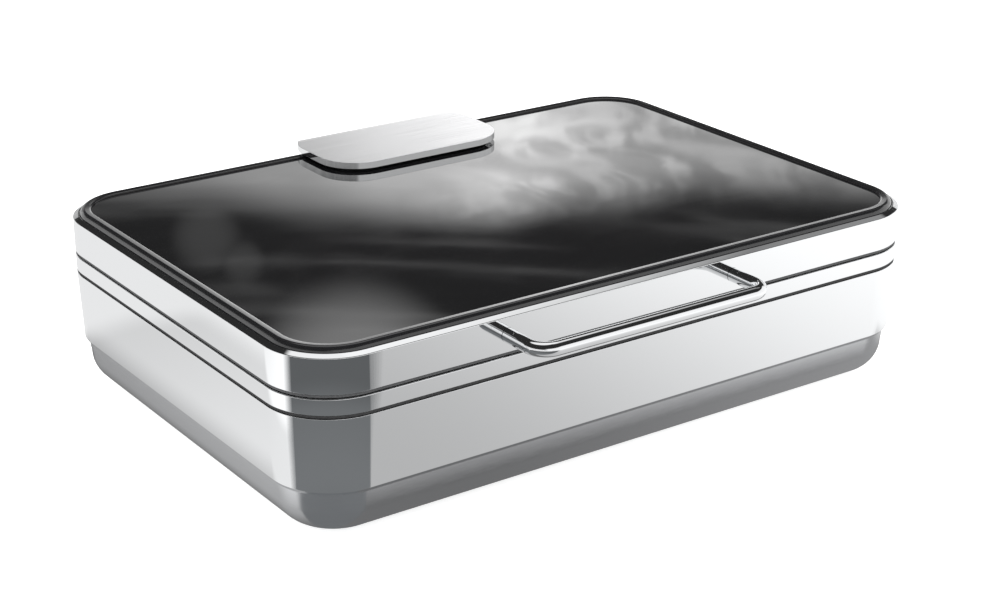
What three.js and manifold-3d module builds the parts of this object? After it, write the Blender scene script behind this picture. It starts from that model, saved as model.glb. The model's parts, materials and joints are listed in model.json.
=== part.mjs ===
// Electric buffet server: a lidded, electrically heated food warmer for one full-size food pan.
// Millimetres, +Z up, +X to the user's right, the handle at the front (-Y), the hinge at the back (+Y).
// The origin is at the middle of the bounding box, on the surface that the feet stand on.

import * as THREE from 'three';
import { mergeVertices } from 'three/addons/utils/BufferGeometryUtils.js';
import Module from 'manifold-3d';

const wasm = await Module();
wasm.setup();

// ---------------------------------------------------------------- driving dimensions

const WIDTH = 620;                 // lid band and collar, outside
const DEPTH = 434;
const CORNER = 56;                 // outer corner radius in plan
const CORNER_STEPS = 5;            // facets in a quarter turn of a corner
const GAP = 0.3;                   // between pieces that touch

const FOOT_HEIGHT = 4;             // the shell's underside is this high
const STEP_Z = 47.1;               // the shell steps in below this
const SHELL_TOP = 108;
const COLLAR_BOTTOM = 110.8;
const COLLAR_TOP = 124;
const BAND_BOTTOM = 127.2;
const BAND_TOP = 156;              // crease between the lid's vertical band and its bevel

const SHEET = 1.5;                 // shell and collar sheet
const WALL_TAPER = 2.5;            // the shell wall leans in by this between its top and the step
const BOTTOM_FILLET = 28;
const SERVICE_OPENING = { halfX: 215, halfY: 120, radius: 20 };

const BEVEL_WIDTH = 4.4;
const BEVEL_RISE = 2.1;
const GLASS_TOP = 160.2;
const GLASS_THICKNESS = 4;
const GLASS_INSET = 9.3;           // the glass's edge, in from the band's outer face
const RIM_OUTER_INSET = 5.9;
const RIM_INNER_INSET = 15.5;
const RIM_CREST = 162.5;

const HANDLE_X = -20;              // middle of the handle
const HANDLE_HALF_SPAN = 112;
const HANDLE_REACH = 42;           // bar axis in front of the lid band
const HANDLE_Z = 141.5;
const BAR_RADIUS = 6;
const BAR_BEND = 15;

const HINGE_X = 24;                // middle of the hinge
const AXIS_BEHIND = 12;            // hinge axis behind the lid band
const AXIS_Z = 125.6;
const PIN_RADIUS = 4;
const KNUCKLE_RADIUS = 7.5;
const COVER_WIDTH = 184;
const COVER_FRONT = 132;           // front edge, as a Y value before the model is centred
const COVER_BOTTOM = 163;
const COVER_TOP = 169;
const COVER_BEHIND = 23;           // the cover's back face, behind the lid band
const COVER_LOWER_EDGE = 136;

const PAN_RIM = { halfX: 265, halfY: 162.5, radius: 32 };       // a full-size food pan, 530 by 325
const FOOD_PAN_DEPTH = 65;
const FOOD_PAN_TOP = 127;
const WATER_PAN_BOTTOM = 37.6;

const PANEL_X = 178;               // rear control panel
const INLET_X = -190;              // appliance inlet
const REAR_FITTINGS_Z = 78;

const HALF_X = WIDTH / 2;
const HALF_Y = DEPTH / 2;
const TILT = Math.atan(WALL_TAPER / (SHELL_TOP - STEP_Z));
const BAR_FRONT = HALF_Y + HANDLE_REACH + BAR_RADIUS;
const COVER_BACK = HALF_Y + COVER_BEHIND;
const CENTRE_SHIFT = (BAR_FRONT - COVER_BACK) / 2;

// ---------------------------------------------------------------- finishes

const finishes = {
  mirrorSteel: [0xd4d6d8, 0.08, 1],
  satinSteel: [0xb9bbbd, 0.32, 1],
  dullSteel: [0x9a9c9e, 0.45, 1],
  aluminium: [0xb4b6b8, 0.4, 1],
  glass: [0x2b2c2e, 0.04, 0],
  blackTrim: [0x121314, 0.25, 0],
  rubber: [0x1b1c1d, 0.8, 0],
  silicone: [0x3c3d3f, 0.6, 0],
  blackPlastic: [0x17181a, 0.45, 0],
  ceramic: [0xe3ded2, 0.5, 0],
  mineralWool: [0xcfc6ae, 0.95, 0],
  redLens: [0xc2231b, 0.15, 0],
  copper: [0xb66a3c, 0.35, 1],
  wireBrown: [0x5a3620, 0.6, 0],
  wireBlue: [0x1f4f9a, 0.6, 0],
  wireGreen: [0x3f8a34, 0.6, 0],
};

const model = new THREE.Group();
model.position.y = CENTRE_SHIFT;

function addPart(name, geometry, finish, parent = model) {
  const [color, roughness, metalness] = finishes[finish];
  const mesh = new THREE.Mesh(geometry, new THREE.MeshStandardMaterial({ color, roughness, metalness }));
  mesh.name = name;
  parent.add(mesh);
  return mesh;
}

// ---------------------------------------------------------------- shape helpers

function ringPoints({ halfX, halfY, radius, z }) {
  const points = [];
  const corners = [[1, 1], [-1, 1], [-1, -1], [1, -1]];
  corners.forEach(([sideX, sideY], quarter) => {
    for (let step = 0; step <= CORNER_STEPS; step += 1) {
      const angle = (quarter + step / CORNER_STEPS) * Math.PI / 2;
      const x = sideX * (halfX - radius) + radius * Math.cos(angle);
      const y = sideY * (halfY - radius) + radius * Math.sin(angle);
      points.push(new THREE.Vector3(x, y, z));
    }
  });
  return points;
}

// A ring that follows the body's outline, set in from the lid band's face.
function insetRing(inset, z) {
  return { halfX: HALF_X - inset, halfY: HALF_Y - inset, radius: CORNER - inset, z };
}

function signedVolume(vertices, triangles) {
  let sum = 0;
  for (const [a, b, c] of triangles) {
    sum += vertices[a].dot(new THREE.Vector3().crossVectors(vertices[b], vertices[c]));
  }
  return sum / 6;
}

// Joins rings with the same number of points. A closed section comes back to its first ring;
// an open one is capped flat at both ends.
function loftRings(rings, closedSection) {
  const loops = rings.map(ringPoints);
  const perRing = loops[0].length;
  const vertices = loops.flat();
  const triangles = [];
  const spans = closedSection ? loops.length : loops.length - 1;
  for (let ring = 0; ring < spans; ring += 1) {
    const next = (ring + 1) % loops.length;
    for (let i = 0; i < perRing; i += 1) {
      const j = (i + 1) % perRing;
      const a = ring * perRing + i;
      const b = ring * perRing + j;
      const c = next * perRing + j;
      const d = next * perRing + i;
      triangles.push([a, b, c], [a, c, d]);
    }
  }
  if (!closedSection) {
    const first = vertices.push(new THREE.Vector3(0, 0, rings[0].z)) - 1;
    const last = vertices.push(new THREE.Vector3(0, 0, rings.at(-1).z)) - 1;
    const base = (loops.length - 1) * perRing;
    for (let i = 0; i < perRing; i += 1) {
      const j = (i + 1) % perRing;
      triangles.push([first, j, i], [last, base + i, base + j]);
    }
  }
  const inverted = signedVolume(vertices, triangles) < 0;
  const index = triangles.flatMap(([a, b, c]) => (inverted ? [a, c, b] : [a, b, c]));
  const geometry = new THREE.BufferGeometry();
  geometry.setAttribute('position', new THREE.Float32BufferAttribute(vertices.flatMap((v) => v.toArray()), 3));
  geometry.setIndex(index);
  return geometry;
}

// A frame that follows the body's outline, from a section of [inset, z] corners.
function outlineFrame(section) {
  return loftRings(section.map(([inset, z]) => insetRing(inset, z)), true);
}

function roundedRectangle(width, height, radius) {
  const shape = new THREE.Shape();
  const x = width / 2;
  const y = height / 2;
  shape.moveTo(-x + radius, -y);
  shape.lineTo(x - radius, -y);
  shape.absarc(x - radius, -y + radius, radius, -Math.PI / 2, 0);
  shape.lineTo(x, y - radius);
  shape.absarc(x - radius, y - radius, radius, 0, Math.PI / 2);
  shape.lineTo(-x + radius, y);
  shape.absarc(-x + radius, y - radius, radius, Math.PI / 2, Math.PI);
  shape.lineTo(-x, -y + radius);
  shape.absarc(-x + radius, -y + radius, radius, Math.PI, Math.PI * 1.5);
  shape.closePath();
  return shape;
}

// A round hole as a ten-sided outline whose flats are at the radius.
function circleHole(x, y, radius) {
  const sides = 10;
  const reach = radius / Math.cos(Math.PI / sides);
  const points = [];
  for (let side = 0; side < sides; side += 1) {
    const angle = side / sides * Math.PI * 2;
    points.push(new THREE.Vector2(x + reach * Math.cos(angle), y + reach * Math.sin(angle)));
  }
  return new THREE.Path(points);
}

// A flat plate in the XY plane, from z = low to z = high.
function plate(shape, low, high, curveSegments = 3) {
  const geometry = new THREE.ExtrudeGeometry(shape, { depth: high - low, bevelEnabled: false, curveSegments });
  return geometry.translate(0, 0, low);
}

function boxBetween(low, high) {
  const size = high.map((value, i) => value - low[i]);
  const centre = high.map((value, i) => (value + low[i]) / 2);
  return new THREE.BoxGeometry(...size).translate(...centre);
}

// A turned piece standing on +Z, from [radius, z] corners that start and end on the axis.
function turned(profile, segments = 16) {
  const points = profile.map(([radius, z]) => new THREE.Vector2(radius, z));
  return new THREE.LatheGeometry(points, segments).rotateX(Math.PI / 2);
}

function rodAlongX(radius, low, high, segments = 16) {
  const rod = new THREE.CylinderGeometry(radius, radius, high - low, segments);
  return rod.rotateZ(Math.PI / 2).translate((high + low) / 2, 0, 0);
}

function rodAlongY(radius, low, high, segments = 16) {
  const rod = new THREE.CylinderGeometry(radius, radius, high - low, segments);
  return rod.translate(0, (high + low) / 2, 0);
}

function rodAlongZ(radius, low, high, segments = 16) {
  const rod = new THREE.CylinderGeometry(radius, radius, high - low, segments);
  return rod.rotateX(Math.PI / 2).translate(0, 0, (high + low) / 2);
}

function tube(path, radius, sides, steps) {
  const section = new THREE.Shape();
  for (let side = 0; side < sides; side += 1) {
    const angle = side / sides * Math.PI * 2;
    const place = [radius * Math.cos(angle), radius * Math.sin(angle)];
    if (side === 0) section.moveTo(...place);
    else section.lineTo(...place);
  }
  section.closePath();
  return new THREE.ExtrudeGeometry(section, { steps, bevelEnabled: false, extrudePath: path });
}

function toSolid(geometry) {
  const bare = geometry.clone();
  bare.deleteAttribute('normal');
  bare.deleteAttribute('uv');
  const merged = mergeVertices(bare, 1e-4);
  const vertProperties = new Float32Array(merged.attributes.position.array);
  const triVerts = new Uint32Array(merged.index.array);
  return new wasm.Manifold(new wasm.Mesh({ numProp: 3, vertProperties, triVerts }));
}

function toGeometry(solid) {
  const mesh = solid.getMesh();
  const geometry = new THREE.BufferGeometry();
  geometry.setAttribute('position', new THREE.BufferAttribute(mesh.vertProperties, 3));
  geometry.setIndex(new THREE.BufferAttribute(mesh.triVerts, 1));
  return geometry;
}

function join(...geometries) {
  return toGeometry(geometries.map(toSolid).reduce((whole, piece) => whole.add(piece)));
}

function cut(geometry, ...tools) {
  return toGeometry(tools.map(toSolid).reduce((whole, tool) => whole.subtract(tool), toSolid(geometry)));
}

function common(first, second) {
  return toGeometry(toSolid(first).intersect(toSolid(second)));
}

// ---------------------------------------------------------------- places that several pieces share

const mirrored = [[-1, -1], [1, -1], [-1, 1], [1, 1]];
const footPlaces = mirrored.map(([x, y]) => [x * 248, y * 152]);
const coverScrewPlaces = [[-220, 0], [220, 0]];
const studPlaces = mirrored.map(([x, y]) => [x * 120, y * 98]);
const handleEnds = [HANDLE_X - HANDLE_HALF_SPAN, HANDLE_X + HANDLE_HALF_SPAN];
const coverBolts = [HINGE_X - 50, HINGE_X + 50];
const COVER_BOLT_Y = 168;
const AXIS_Y = HALF_Y + AXIS_BEHIND;

// A frame on the rear wall: its origin is on the wall's outer face and its +Y points straight out.
function rearWallFrame(x) {
  const frame = new THREE.Group();
  const inset = WALL_TAPER * (SHELL_TOP - REAR_FITTINGS_Z) / (SHELL_TOP - STEP_Z);
  frame.position.set(x, HALF_Y - inset, REAR_FITTINGS_Z);
  frame.rotation.x = -TILT;
  frame.updateMatrix();
  model.add(frame);
  return frame;
}

const panelFrame = rearWallFrame(PANEL_X);
const inletFrame = rearWallFrame(INLET_X);

// ---------------------------------------------------------------- base: shell, collar, pans

// The shell's side, from its top edge to its bottom flange, at a depth below its outer surface.
function shellSide(depth) {
  const lowerWall = WALL_TAPER + 4.9;
  const arcInset = lowerWall + BOTTOM_FILLET;
  const arcZ = FOOT_HEIGHT + BOTTOM_FILLET;
  const arcRadius = BOTTOM_FILLET - depth;
  const side = [
    insetRing(depth, SHELL_TOP),
    insetRing(WALL_TAPER + depth, STEP_Z),
    insetRing(WALL_TAPER + 0.7 + depth, STEP_Z - 1.1),
    insetRing(WALL_TAPER + 3.3 + depth, STEP_Z - 3.2),
    insetRing(WALL_TAPER + 3.8 + depth, STEP_Z - 4.6),
  ];
  for (let step = 0; step <= 4; step += 1) {
    const angle = step / 4 * Math.PI / 2;
    side.push(insetRing(arcInset - arcRadius * Math.cos(angle), arcZ - arcRadius * Math.sin(angle)));
  }
  side.push({ ...SERVICE_OPENING, z: FOOT_HEIGHT + depth });
  return side;
}

function makeShell() {
  const blank = loftRings([...shellSide(0), ...shellSide(SHEET).reverse()], true);
  const holes = [
    ...footPlaces.map(([x, y]) => rodAlongZ(3, 0, 8, 12).translate(x, y, 0)),
    ...coverScrewPlaces.map(([x, y]) => rodAlongZ(1.8, 0, 8, 8).translate(x, y, 0)),
    boxBetween([-52, -8, -17], [52, 8, 17]).applyMatrix4(panelFrame.matrix),
    boxBetween([-15, -8, -11], [15, 8, 11]).applyMatrix4(inletFrame.matrix),
  ];
  return cut(blank, ...holes);
}

// The collar carries both pans on its deck and reaches down inside the shell.
function makeCollar() {
  return loftRings([
    insetRing(0, COLLAR_BOTTOM),
    insetRing(0, COLLAR_TOP - 0.8),
    insetRing(0.8, COLLAR_TOP),
    { halfX: 262, halfY: 159.5, radius: 34, z: COLLAR_TOP },
    { halfX: 262, halfY: 159.5, radius: 34, z: 118 },
    { halfX: 263.5, halfY: 161, radius: 35.5, z: 118 },
    { halfX: 263.5, halfY: 161, radius: 35.5, z: COLLAR_TOP - SHEET },
    insetRing(SHEET, COLLAR_TOP - SHEET),
    insetRing(SHEET, COLLAR_BOTTOM + SHEET),
    insetRing(4.5, COLLAR_BOTTOM + SHEET),
    insetRing(4.5, 100),
    insetRing(3, 100),
    insetRing(3, COLLAR_BOTTOM),
  ], true);
}

function makeCollarGasket() {
  return outlineFrame([[0.9, 108.3], [0.9, 110.5], [2.7, 110.5], [2.7, 108.3]]);
}

// A pan drawn from one sheet: a flat rim, walls that lean in, a rounded foot and a flat bottom.
function panSide({ rim, mouth, floor, rimZ, floorZ, foot }) {
  const side = [
    { ...rim, z: rimZ },
    { ...mouth, z: rimZ },
    { ...floor, z: floorZ + foot },
  ];
  for (const turn of [0.5, 1]) {
    const angle = turn * Math.PI / 2;
    const inward = foot * (1 - Math.cos(angle));
    side.push({
      halfX: floor.halfX - inward,
      halfY: floor.halfY - inward,
      radius: floor.radius - inward,
      z: floorZ + foot * (1 - Math.sin(angle)),
    });
  }
  return side;
}

function makePan({ rim, mouth, floor, rimZ, floorZ, foot, sheet }) {
  const shrink = (ring) => ({ halfX: ring.halfX - sheet, halfY: ring.halfY - sheet, radius: ring.radius - sheet });
  const outer = panSide({ rim, mouth, floor, rimZ, floorZ, foot });
  const inner = panSide({
    rim,
    mouth: shrink(mouth),
    floor: shrink(floor),
    rimZ: rimZ + sheet,
    floorZ: floorZ + sheet,
    foot: foot - sheet,
  });
  return loftRings([...outer.reverse(), ...inner], false);
}

const waterPan = {
  rim: { halfX: 274, halfY: 171, radius: 40 },
  mouth: { halfX: 258, halfY: 155.5, radius: 30 },
  floor: { halfX: 252, halfY: 149.5, radius: 28 },
  rimZ: COLLAR_TOP + GAP,
  floorZ: WATER_PAN_BOTTOM,
  foot: 10,
  sheet: 1,
};

const foodPan = {
  rim: PAN_RIM,
  mouth: { halfX: 252.5, halfY: 150, radius: 26 },
  floor: { halfX: 243, halfY: 140.5, radius: 24 },
  rimZ: FOOD_PAN_TOP - 1,
  floorZ: FOOD_PAN_TOP - FOOD_PAN_DEPTH,
  foot: 14,
  sheet: 1,
};

addPart('base_shell', makeShell(), 'mirrorSteel');
addPart('base_collar', makeCollar(), 'mirrorSteel');
addPart('collar_gasket', makeCollarGasket(), 'rubber');
addPart('water_pan', makePan(waterPan), 'satinSteel');
addPart('food_pan', makePan(foodPan), 'satinSteel');

// ---------------------------------------------------------------- base: underside

function makeBottomCover() {
  const shape = roundedRectangle(450, 260, 24);
  for (const [x, y] of coverScrewPlaces) shape.holes.push(circleHole(x, y, 1.8));
  for (let row = -2; row <= 2; row += 1) {
    const slot = roundedRectangle(90, 6, 2.9);
    shape.holes.push(new THREE.Path(slot.getPoints(2).map((p) => new THREE.Vector2(p.x, p.y + row * 18))));
  }
  return plate(shape, 2.5, FOOT_HEIGHT - GAP, 2);
}

// A push-in foot: its stem passes through the shell's floor and swells above it.
function makeFoot() {
  return turned([[0, 0], [12, 0], [13, 1], [13, 3.7], [2.6, 3.7], [2.6, 5.9], [4, 6.6], [2.2, 10], [0, 10]], 12);
}

function makeCoverScrew() {
  return turned([[0, 0.9], [3.2, 1.2], [3.2, 2.2], [1.5, 2.2], [1.5, 7.5], [0, 7.5]], 10);
}

addPart('bottom_cover', makeBottomCover(), 'dullSteel');
footPlaces.forEach(([x, y], i) => {
  addPart(`foot_${i + 1}`, makeFoot().translate(x, y, 0), 'rubber');
});
coverScrewPlaces.forEach(([x, y], i) => {
  addPart(`cover_screw_${i + 1}`, makeCoverScrew().translate(x, y, 0), 'dullSteel');
});

// ---------------------------------------------------------------- base: heater under the water pan

const ELEMENT_Z = 30;
const ELEMENT_RADIUS = 4;
const ELEMENT_LOOP = 60;           // radius of the hairpin's turn
const ELEMENT_RUN = 125;           // the straight runs reach this far in +X before the turn
const ELEMENT_END = -214;

function makeHeaterPlate() {
  const shape = roundedRectangle(400, 220, 20);
  for (const [x, y] of studPlaces) shape.holes.push(circleHole(x, y, 3));
  return plate(shape, 34.3, 37.3);
}

// A hairpin: out along one run, round the turn and back along the other.
function makeElement() {
  const path = new THREE.CurvePath();
  const places = [];
  for (let step = 0; step <= 12; step += 1) {
    const angle = (step / 12 - 0.5) * Math.PI;
    const x = ELEMENT_RUN + ELEMENT_LOOP * Math.cos(angle);
    places.push(new THREE.Vector3(x, ELEMENT_LOOP * Math.sin(angle), ELEMENT_Z));
  }
  const start = new THREE.Vector3(ELEMENT_END, -ELEMENT_LOOP, ELEMENT_Z);
  const end = new THREE.Vector3(ELEMENT_END, ELEMENT_LOOP, ELEMENT_Z);
  path.add(new THREE.LineCurve3(start, places[0]));
  path.add(new THREE.CatmullRomCurve3(places));
  path.add(new THREE.LineCurve3(places.at(-1), end));
  return tube(path, ELEMENT_RADIUS, 6, 44);
}

function makeClampBar(x) {
  const shape = roundedRectangle(16, 216, 4);
  for (const y of [-98, 98]) shape.holes.push(circleHole(0, y, 3));
  return plate(shape, 22.4, 25.6).translate(x, 0, 0);
}

function makeInsulation() {
  const shape = roundedRectangle(404, 228, 16);
  for (const [x, y] of studPlaces) shape.holes.push(circleHole(x, y, 3));
  return plate(shape, 13.6, 21.8);
}

function makeHeatShield() {
  const tray = (halfX, halfY, radius, z) => ({ halfX, halfY, radius, z });
  const blank = loftRings([
    tray(206, 118, 18, 12),
    tray(206, 118, 18, 21),
    tray(205, 117, 17, 21),
    tray(205, 117, 17, 13.2),
  ], false);
  return cut(blank, ...studPlaces.map(([x, y]) => rodAlongZ(3, 0, 30, 8).translate(x, y, 0)));
}

// A stud from the water pan's underside, with its nut below the heat shield.
function makeStud() {
  return turned([[0, 7], [2.5, 7], [2.5, 8], [5, 8], [5, 11.7], [2.5, 11.7], [2.5, 37.3], [0, 37.3]], 8);
}

function makeCutout() {
  return turned([[0, 28.5], [8, 28.5], [8, 33.5], [5, 34.9], [5, 37.3], [0, 37.3]], 14);
}

addPart('heater_plate', makeHeaterPlate(), 'aluminium');
addPart('heater_element', makeElement(), 'dullSteel');
addPart('heater_clamp_left', makeClampBar(-120), 'dullSteel');
addPart('heater_clamp_right', makeClampBar(120), 'dullSteel');
addPart('insulation_pad', makeInsulation(), 'mineralWool');
addPart('heat_shield', makeHeatShield(), 'aluminium');
studPlaces.forEach(([x, y], i) => addPart(`heater_stud_${i + 1}`, makeStud().translate(x, y, 0), 'dullSteel'));
addPart('thermal_cutout', makeCutout().translate(-222, 0, 0), 'blackPlastic');
addPart('thermostat_bulb', rodAlongX(3, -60, 40, 8).translate(0, 128, 33.9), 'copper');

// ---------------------------------------------------------------- base: rear control panel

const PLATE_OUTER = 2.8;
const KNOB_X = -34;
const LAMP_X = 4;
const SWITCH_X = 38;
const ROCKER_TILT = THREE.MathUtils.degToRad(10);

function standOnWall(geometry) {
  return geometry.rotateX(-Math.PI / 2);
}

function makeControlPlate() {
  const shape = roundedRectangle(120, 46, 6);
  shape.holes.push(circleHole(KNOB_X, 0, 4), circleHole(LAMP_X, 0, 4.6));
  const opening = roundedRectangle(13.8, 20.2, 0.5).getPoints(1);
  shape.holes.push(new THREE.Path(opening.map((p) => new THREE.Vector2(p.x + SWITCH_X, p.y))));
  return standOnWall(plate(shape, GAP, PLATE_OUTER));
}

// The knob's profile stands on the panel; a ridge across its front face is the pointer.
function makeKnob() {
  const body = turnedKnob();
  const ridge = boxBetween([-1.6, 18, 1], [1.6, 21.5, 12]);
  const bore = rodAlongY(3.3, 0, 14.3, 12);
  return cut(join(body, ridge), bore);
}

function turnedKnob() {
  return standOnWall(turned([[0, 4.6], [14, 4.6], [14.4, 7], [12.6, 18], [11.4, 19.6], [0, 19.6]], 18));
}

function makeLamp() {
  const profile = [[0, -12], [4.2, -12], [4.2, 3.1], [6, 3.1], [6, 4.3], [4.6, 6], [2.4, 7.2], [0, 7.6]];
  return standOnWall(turned(profile, 12));
}

function makeSwitchHousing() {
  const flange = boxBetween([-8.6, 3.1, -12], [8.6, 5, 12]);
  const body = boxBetween([-6.6, -18, -9.8], [6.6, 4, 9.8]);
  const well = boxBetween([-5.6, -5, -9.4], [5.6, 9, 9.4]);
  return cut(join(flange, body), well);
}

// The rocker is a shallow V seen from the side; it turns about the panel's X axis.
function makeRocker() {
  const side = new THREE.Shape([
    new THREE.Vector2(-8.2, 4.6),
    new THREE.Vector2(-8.2, 0.5),
    new THREE.Vector2(0, -2.5),
    new THREE.Vector2(8.2, 0.5),
    new THREE.Vector2(8.2, 4.6),
    new THREE.Vector2(0, 3.2),
  ]);
  const block = new THREE.ExtrudeGeometry(side, { depth: 10.4, bevelEnabled: false });
  return block.translate(0, 0, -5.2).rotateY(-Math.PI / 2);
}

addPart('control_plate', makeControlPlate(), 'satinSteel', panelFrame);
addPart('thermostat_knob', makeKnob().translate(KNOB_X, 0, 0), 'blackPlastic', panelFrame);
addPart('thermostat_shaft', rodAlongY(3, -5.6, 14, 12).translate(KNOB_X, 0, 0), 'dullSteel', panelFrame);
addPart('thermostat_body', boxBetween([-52, -34, -15], [-16, -6, 15]), 'ceramic', panelFrame);
addPart('pilot_lamp', makeLamp().translate(LAMP_X, 0, 0), 'redLens', panelFrame);
addPart('switch_housing', makeSwitchHousing().translate(SWITCH_X, 0, 0), 'blackPlastic', panelFrame);

const rocker = addPart('switch_rocker', makeRocker(), 'blackPlastic', panelFrame);
rocker.position.set(SWITCH_X, 2.6, 0);
rocker.rotation.x = ROCKER_TILT;

// ---------------------------------------------------------------- base: inlet and wiring

function makeInlet() {
  const flange = standOnWall(plate(roundedRectangle(50, 25, 4), GAP, 3.3));
  const body = boxBetween([-14, -20, -10], [14, 1, 10]);
  const socket = boxBetween([-12.2, -15, -8.2], [12.2, 9, 8.2]);
  const pins = [[-7, -1.5], [0, 2], [7, -1.5]].map(([x, z]) => boxBetween([x - 1, -16, z - 2], [x + 1, -6, z + 2]));
  return join(cut(join(flange, body), socket), ...pins);
}

function makeTerminalBlock() {
  const block = boxBetween([-24, -9, 5.8], [24, 9, 18]);
  return cut(block, ...[-15, 0, 15].map((x) => rodAlongZ(3, 12, 24, 8).translate(x, 0, 0)));
}

function makeWire(points) {
  const path = new THREE.CatmullRomCurve3(points.map((p) => new THREE.Vector3(...p)));
  return tube(path, 1.5, 6, 10);
}

const wires = {
  supply_wire_live: ['wireBrown', [[-197, 192, 74], [-198, 182, 58], [-165, 178, 34], [-148, 175, 22], [-143, 165, 20]]],
  supply_wire_neutral: ['wireBlue', [[-183, 192, 74], [-182, 184, 62], [-150, 182, 40], [-132, 176, 26], [-128, 165, 20]]],
  supply_wire_earth: ['wireGreen', [[-190, 192, 86], [-176, 184, 82], [-140, 184, 60], [-116, 178, 32], [-113, 165, 20]]],
  switch_wire: ['wireBrown', [[-100, 168, 16], [-20, 184, 30], [90, 186, 38], [190, 184, 52], [216, 196, 74]]],
  thermostat_wire: ['wireBrown', [[216, 194, 84], [204, 182, 92], [176, 178, 94], [158, 180, 97]]],
  heater_wire_live: ['wireBrown', [[140, 178, 62], [60, 172, 46], [-120, 166, 44], [-215, 150, 36], [-222, 62, 30]]],
  heater_wire_neutral: ['wireBlue', [[-128, 148, 16], [-200, 136, 14], [-234, 60, 14], [-236, -40, 22], [-222, -58, 30]]],
};

addPart('power_inlet', makeInlet(), 'blackPlastic', inletFrame);
addPart('terminal_block', makeTerminalBlock().translate(-128, 160, 0), 'ceramic');
for (const [name, [finish, points]] of Object.entries(wires)) addPart(name, makeWire(points), finish);

// ---------------------------------------------------------------- lid: band, glass and rim

const SHELF_TOP = 154.6;
const BAND_SHEET = 1.4;

function makeLidBand() {
  const blank = outlineFrame([
    [0, BAND_BOTTOM],
    [0, BAND_TOP],
    [BEVEL_WIDTH, BAND_TOP + BEVEL_RISE],
    [BEVEL_WIDTH + 1.2, BAND_TOP + BEVEL_RISE],
    [BEVEL_WIDTH + 1.2, SHELF_TOP],
    [26, SHELF_TOP],
    [26, SHELF_TOP - BAND_SHEET],
    [BAND_SHEET, SHELF_TOP - BAND_SHEET],
    [BAND_SHEET, BAND_BOTTOM],
  ]);
  return cut(blank, ...handleEnds.map((x) => rodAlongY(3.4, -HALF_Y - 5, -HALF_Y + 5, 12).translate(x, 0, HANDLE_Z)));
}

function makeGlass() {
  const pane = loftRings([insetRing(GLASS_INSET, GLASS_TOP - GLASS_THICKNESS), insetRing(GLASS_INSET, GLASS_TOP)], false);
  return cut(pane, ...coverBolts.map((x) => rodAlongZ(5, 150, 170, 12).translate(x, COVER_BOLT_Y, 0)));
}

// The black rim is a channel: its back stands outside the glass and its lip laps over the glass's edge.
function makeRim() {
  const lipBottom = GLASS_TOP + GAP;
  return outlineFrame([
    [RIM_OUTER_INSET, SHELF_TOP + GAP],
    [GLASS_INSET - GAP, SHELF_TOP + GAP],
    [GLASS_INSET - GAP, lipBottom],
    [RIM_INNER_INSET, lipBottom],
    [RIM_INNER_INSET, RIM_CREST - 0.9],
    [RIM_INNER_INSET - 1.2, RIM_CREST - 0.2],
    [RIM_INNER_INSET - 3.6, RIM_CREST],
    [RIM_OUTER_INSET + 3.4, RIM_CREST - 0.5],
    [RIM_OUTER_INSET + 1.3, RIM_CREST - 1.8],
    [RIM_OUTER_INSET, RIM_CREST - 4],
  ]);
}

function makeGlassGasket() {
  return outlineFrame([[12, 154.9], [12, 155.9], [24, 155.9], [24, 154.9]]);
}

function makeInnerFrame() {
  return outlineFrame([[9, 152.9], [30, 152.9], [30, 151.7], [10.2, 151.7], [10.2, 130], [9, 130]]);
}

function makeLidSeal() {
  return outlineFrame([[0.9, 124.6], [6.5, 124.6], [6.5, 126.9], [2.7, 126.9], [2.7, 131], [1.7, 131], [1.7, 126.9], [0.9, 126.9]]);
}

addPart('lid_band', makeLidBand(), 'mirrorSteel');
addPart('lid_glass', makeGlass(), 'glass');
addPart('lid_rim', makeRim(), 'blackTrim');
addPart('glass_gasket', makeGlassGasket(), 'silicone');
addPart('lid_inner_frame', makeInnerFrame(), 'satinSteel');
addPart('lid_seal', makeLidSeal(), 'silicone');

// ---------------------------------------------------------------- lid: handle

function makeHandle() {
  const face = -HALF_Y - GAP;
  const barY = -HALF_Y - HANDLE_REACH;
  const [left, right] = handleEnds;
  const at = (x, y) => new THREE.Vector3(x, y, HANDLE_Z);
  const path = new THREE.CurvePath();
  const bend = (x, side) => {
    const places = [];
    for (let step = 0; step <= 6; step += 1) {
      const angle = step / 6 * Math.PI / 2;
      const across = side * BAR_BEND * (1 - (side < 0 ? Math.sin(angle) : Math.cos(angle)));
      const out = BAR_BEND * (side < 0 ? Math.cos(angle) : Math.sin(angle));
      places.push(at(x - across, barY + BAR_BEND - out));
    }
    return places;
  };
  const rightBend = bend(right, 1);
  const leftBend = bend(left, -1);
  path.add(new THREE.LineCurve3(at(right, face), rightBend[0]));
  path.add(new THREE.CatmullRomCurve3(rightBend));
  path.add(new THREE.LineCurve3(rightBend.at(-1), leftBend[0]));
  path.add(new THREE.CatmullRomCurve3(leftBend));
  path.add(new THREE.LineCurve3(leftBend.at(-1), at(left, face)));
  const bar = tube(path, BAR_RADIUS, 10, 38);
  return cut(bar, ...handleEnds.map((x) => rodAlongY(3.3, face - 16, face + 5, 12).translate(x, 0, HANDLE_Z)));
}

// The screw comes from inside the lid, through the band, into the end of the bar.
function makeHandleScrew() {
  const profile = [[0, 0], [5, 0], [5, 3.5], [3, 3.5], [3, 19], [0, 19]];
  return turned(profile, 12).rotateX(Math.PI / 2).translate(0, -HALF_Y + 7, HANDLE_Z);
}

addPart('lid_handle', makeHandle(), 'mirrorSteel');
['left', 'right'].forEach((side, i) => {
  addPart(`handle_screw_${side}`, makeHandleScrew().translate(handleEnds[i], 0, 0), 'dullSteel');
});

// ---------------------------------------------------------------- hinge

const COVER_CORNER = 38;

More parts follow.
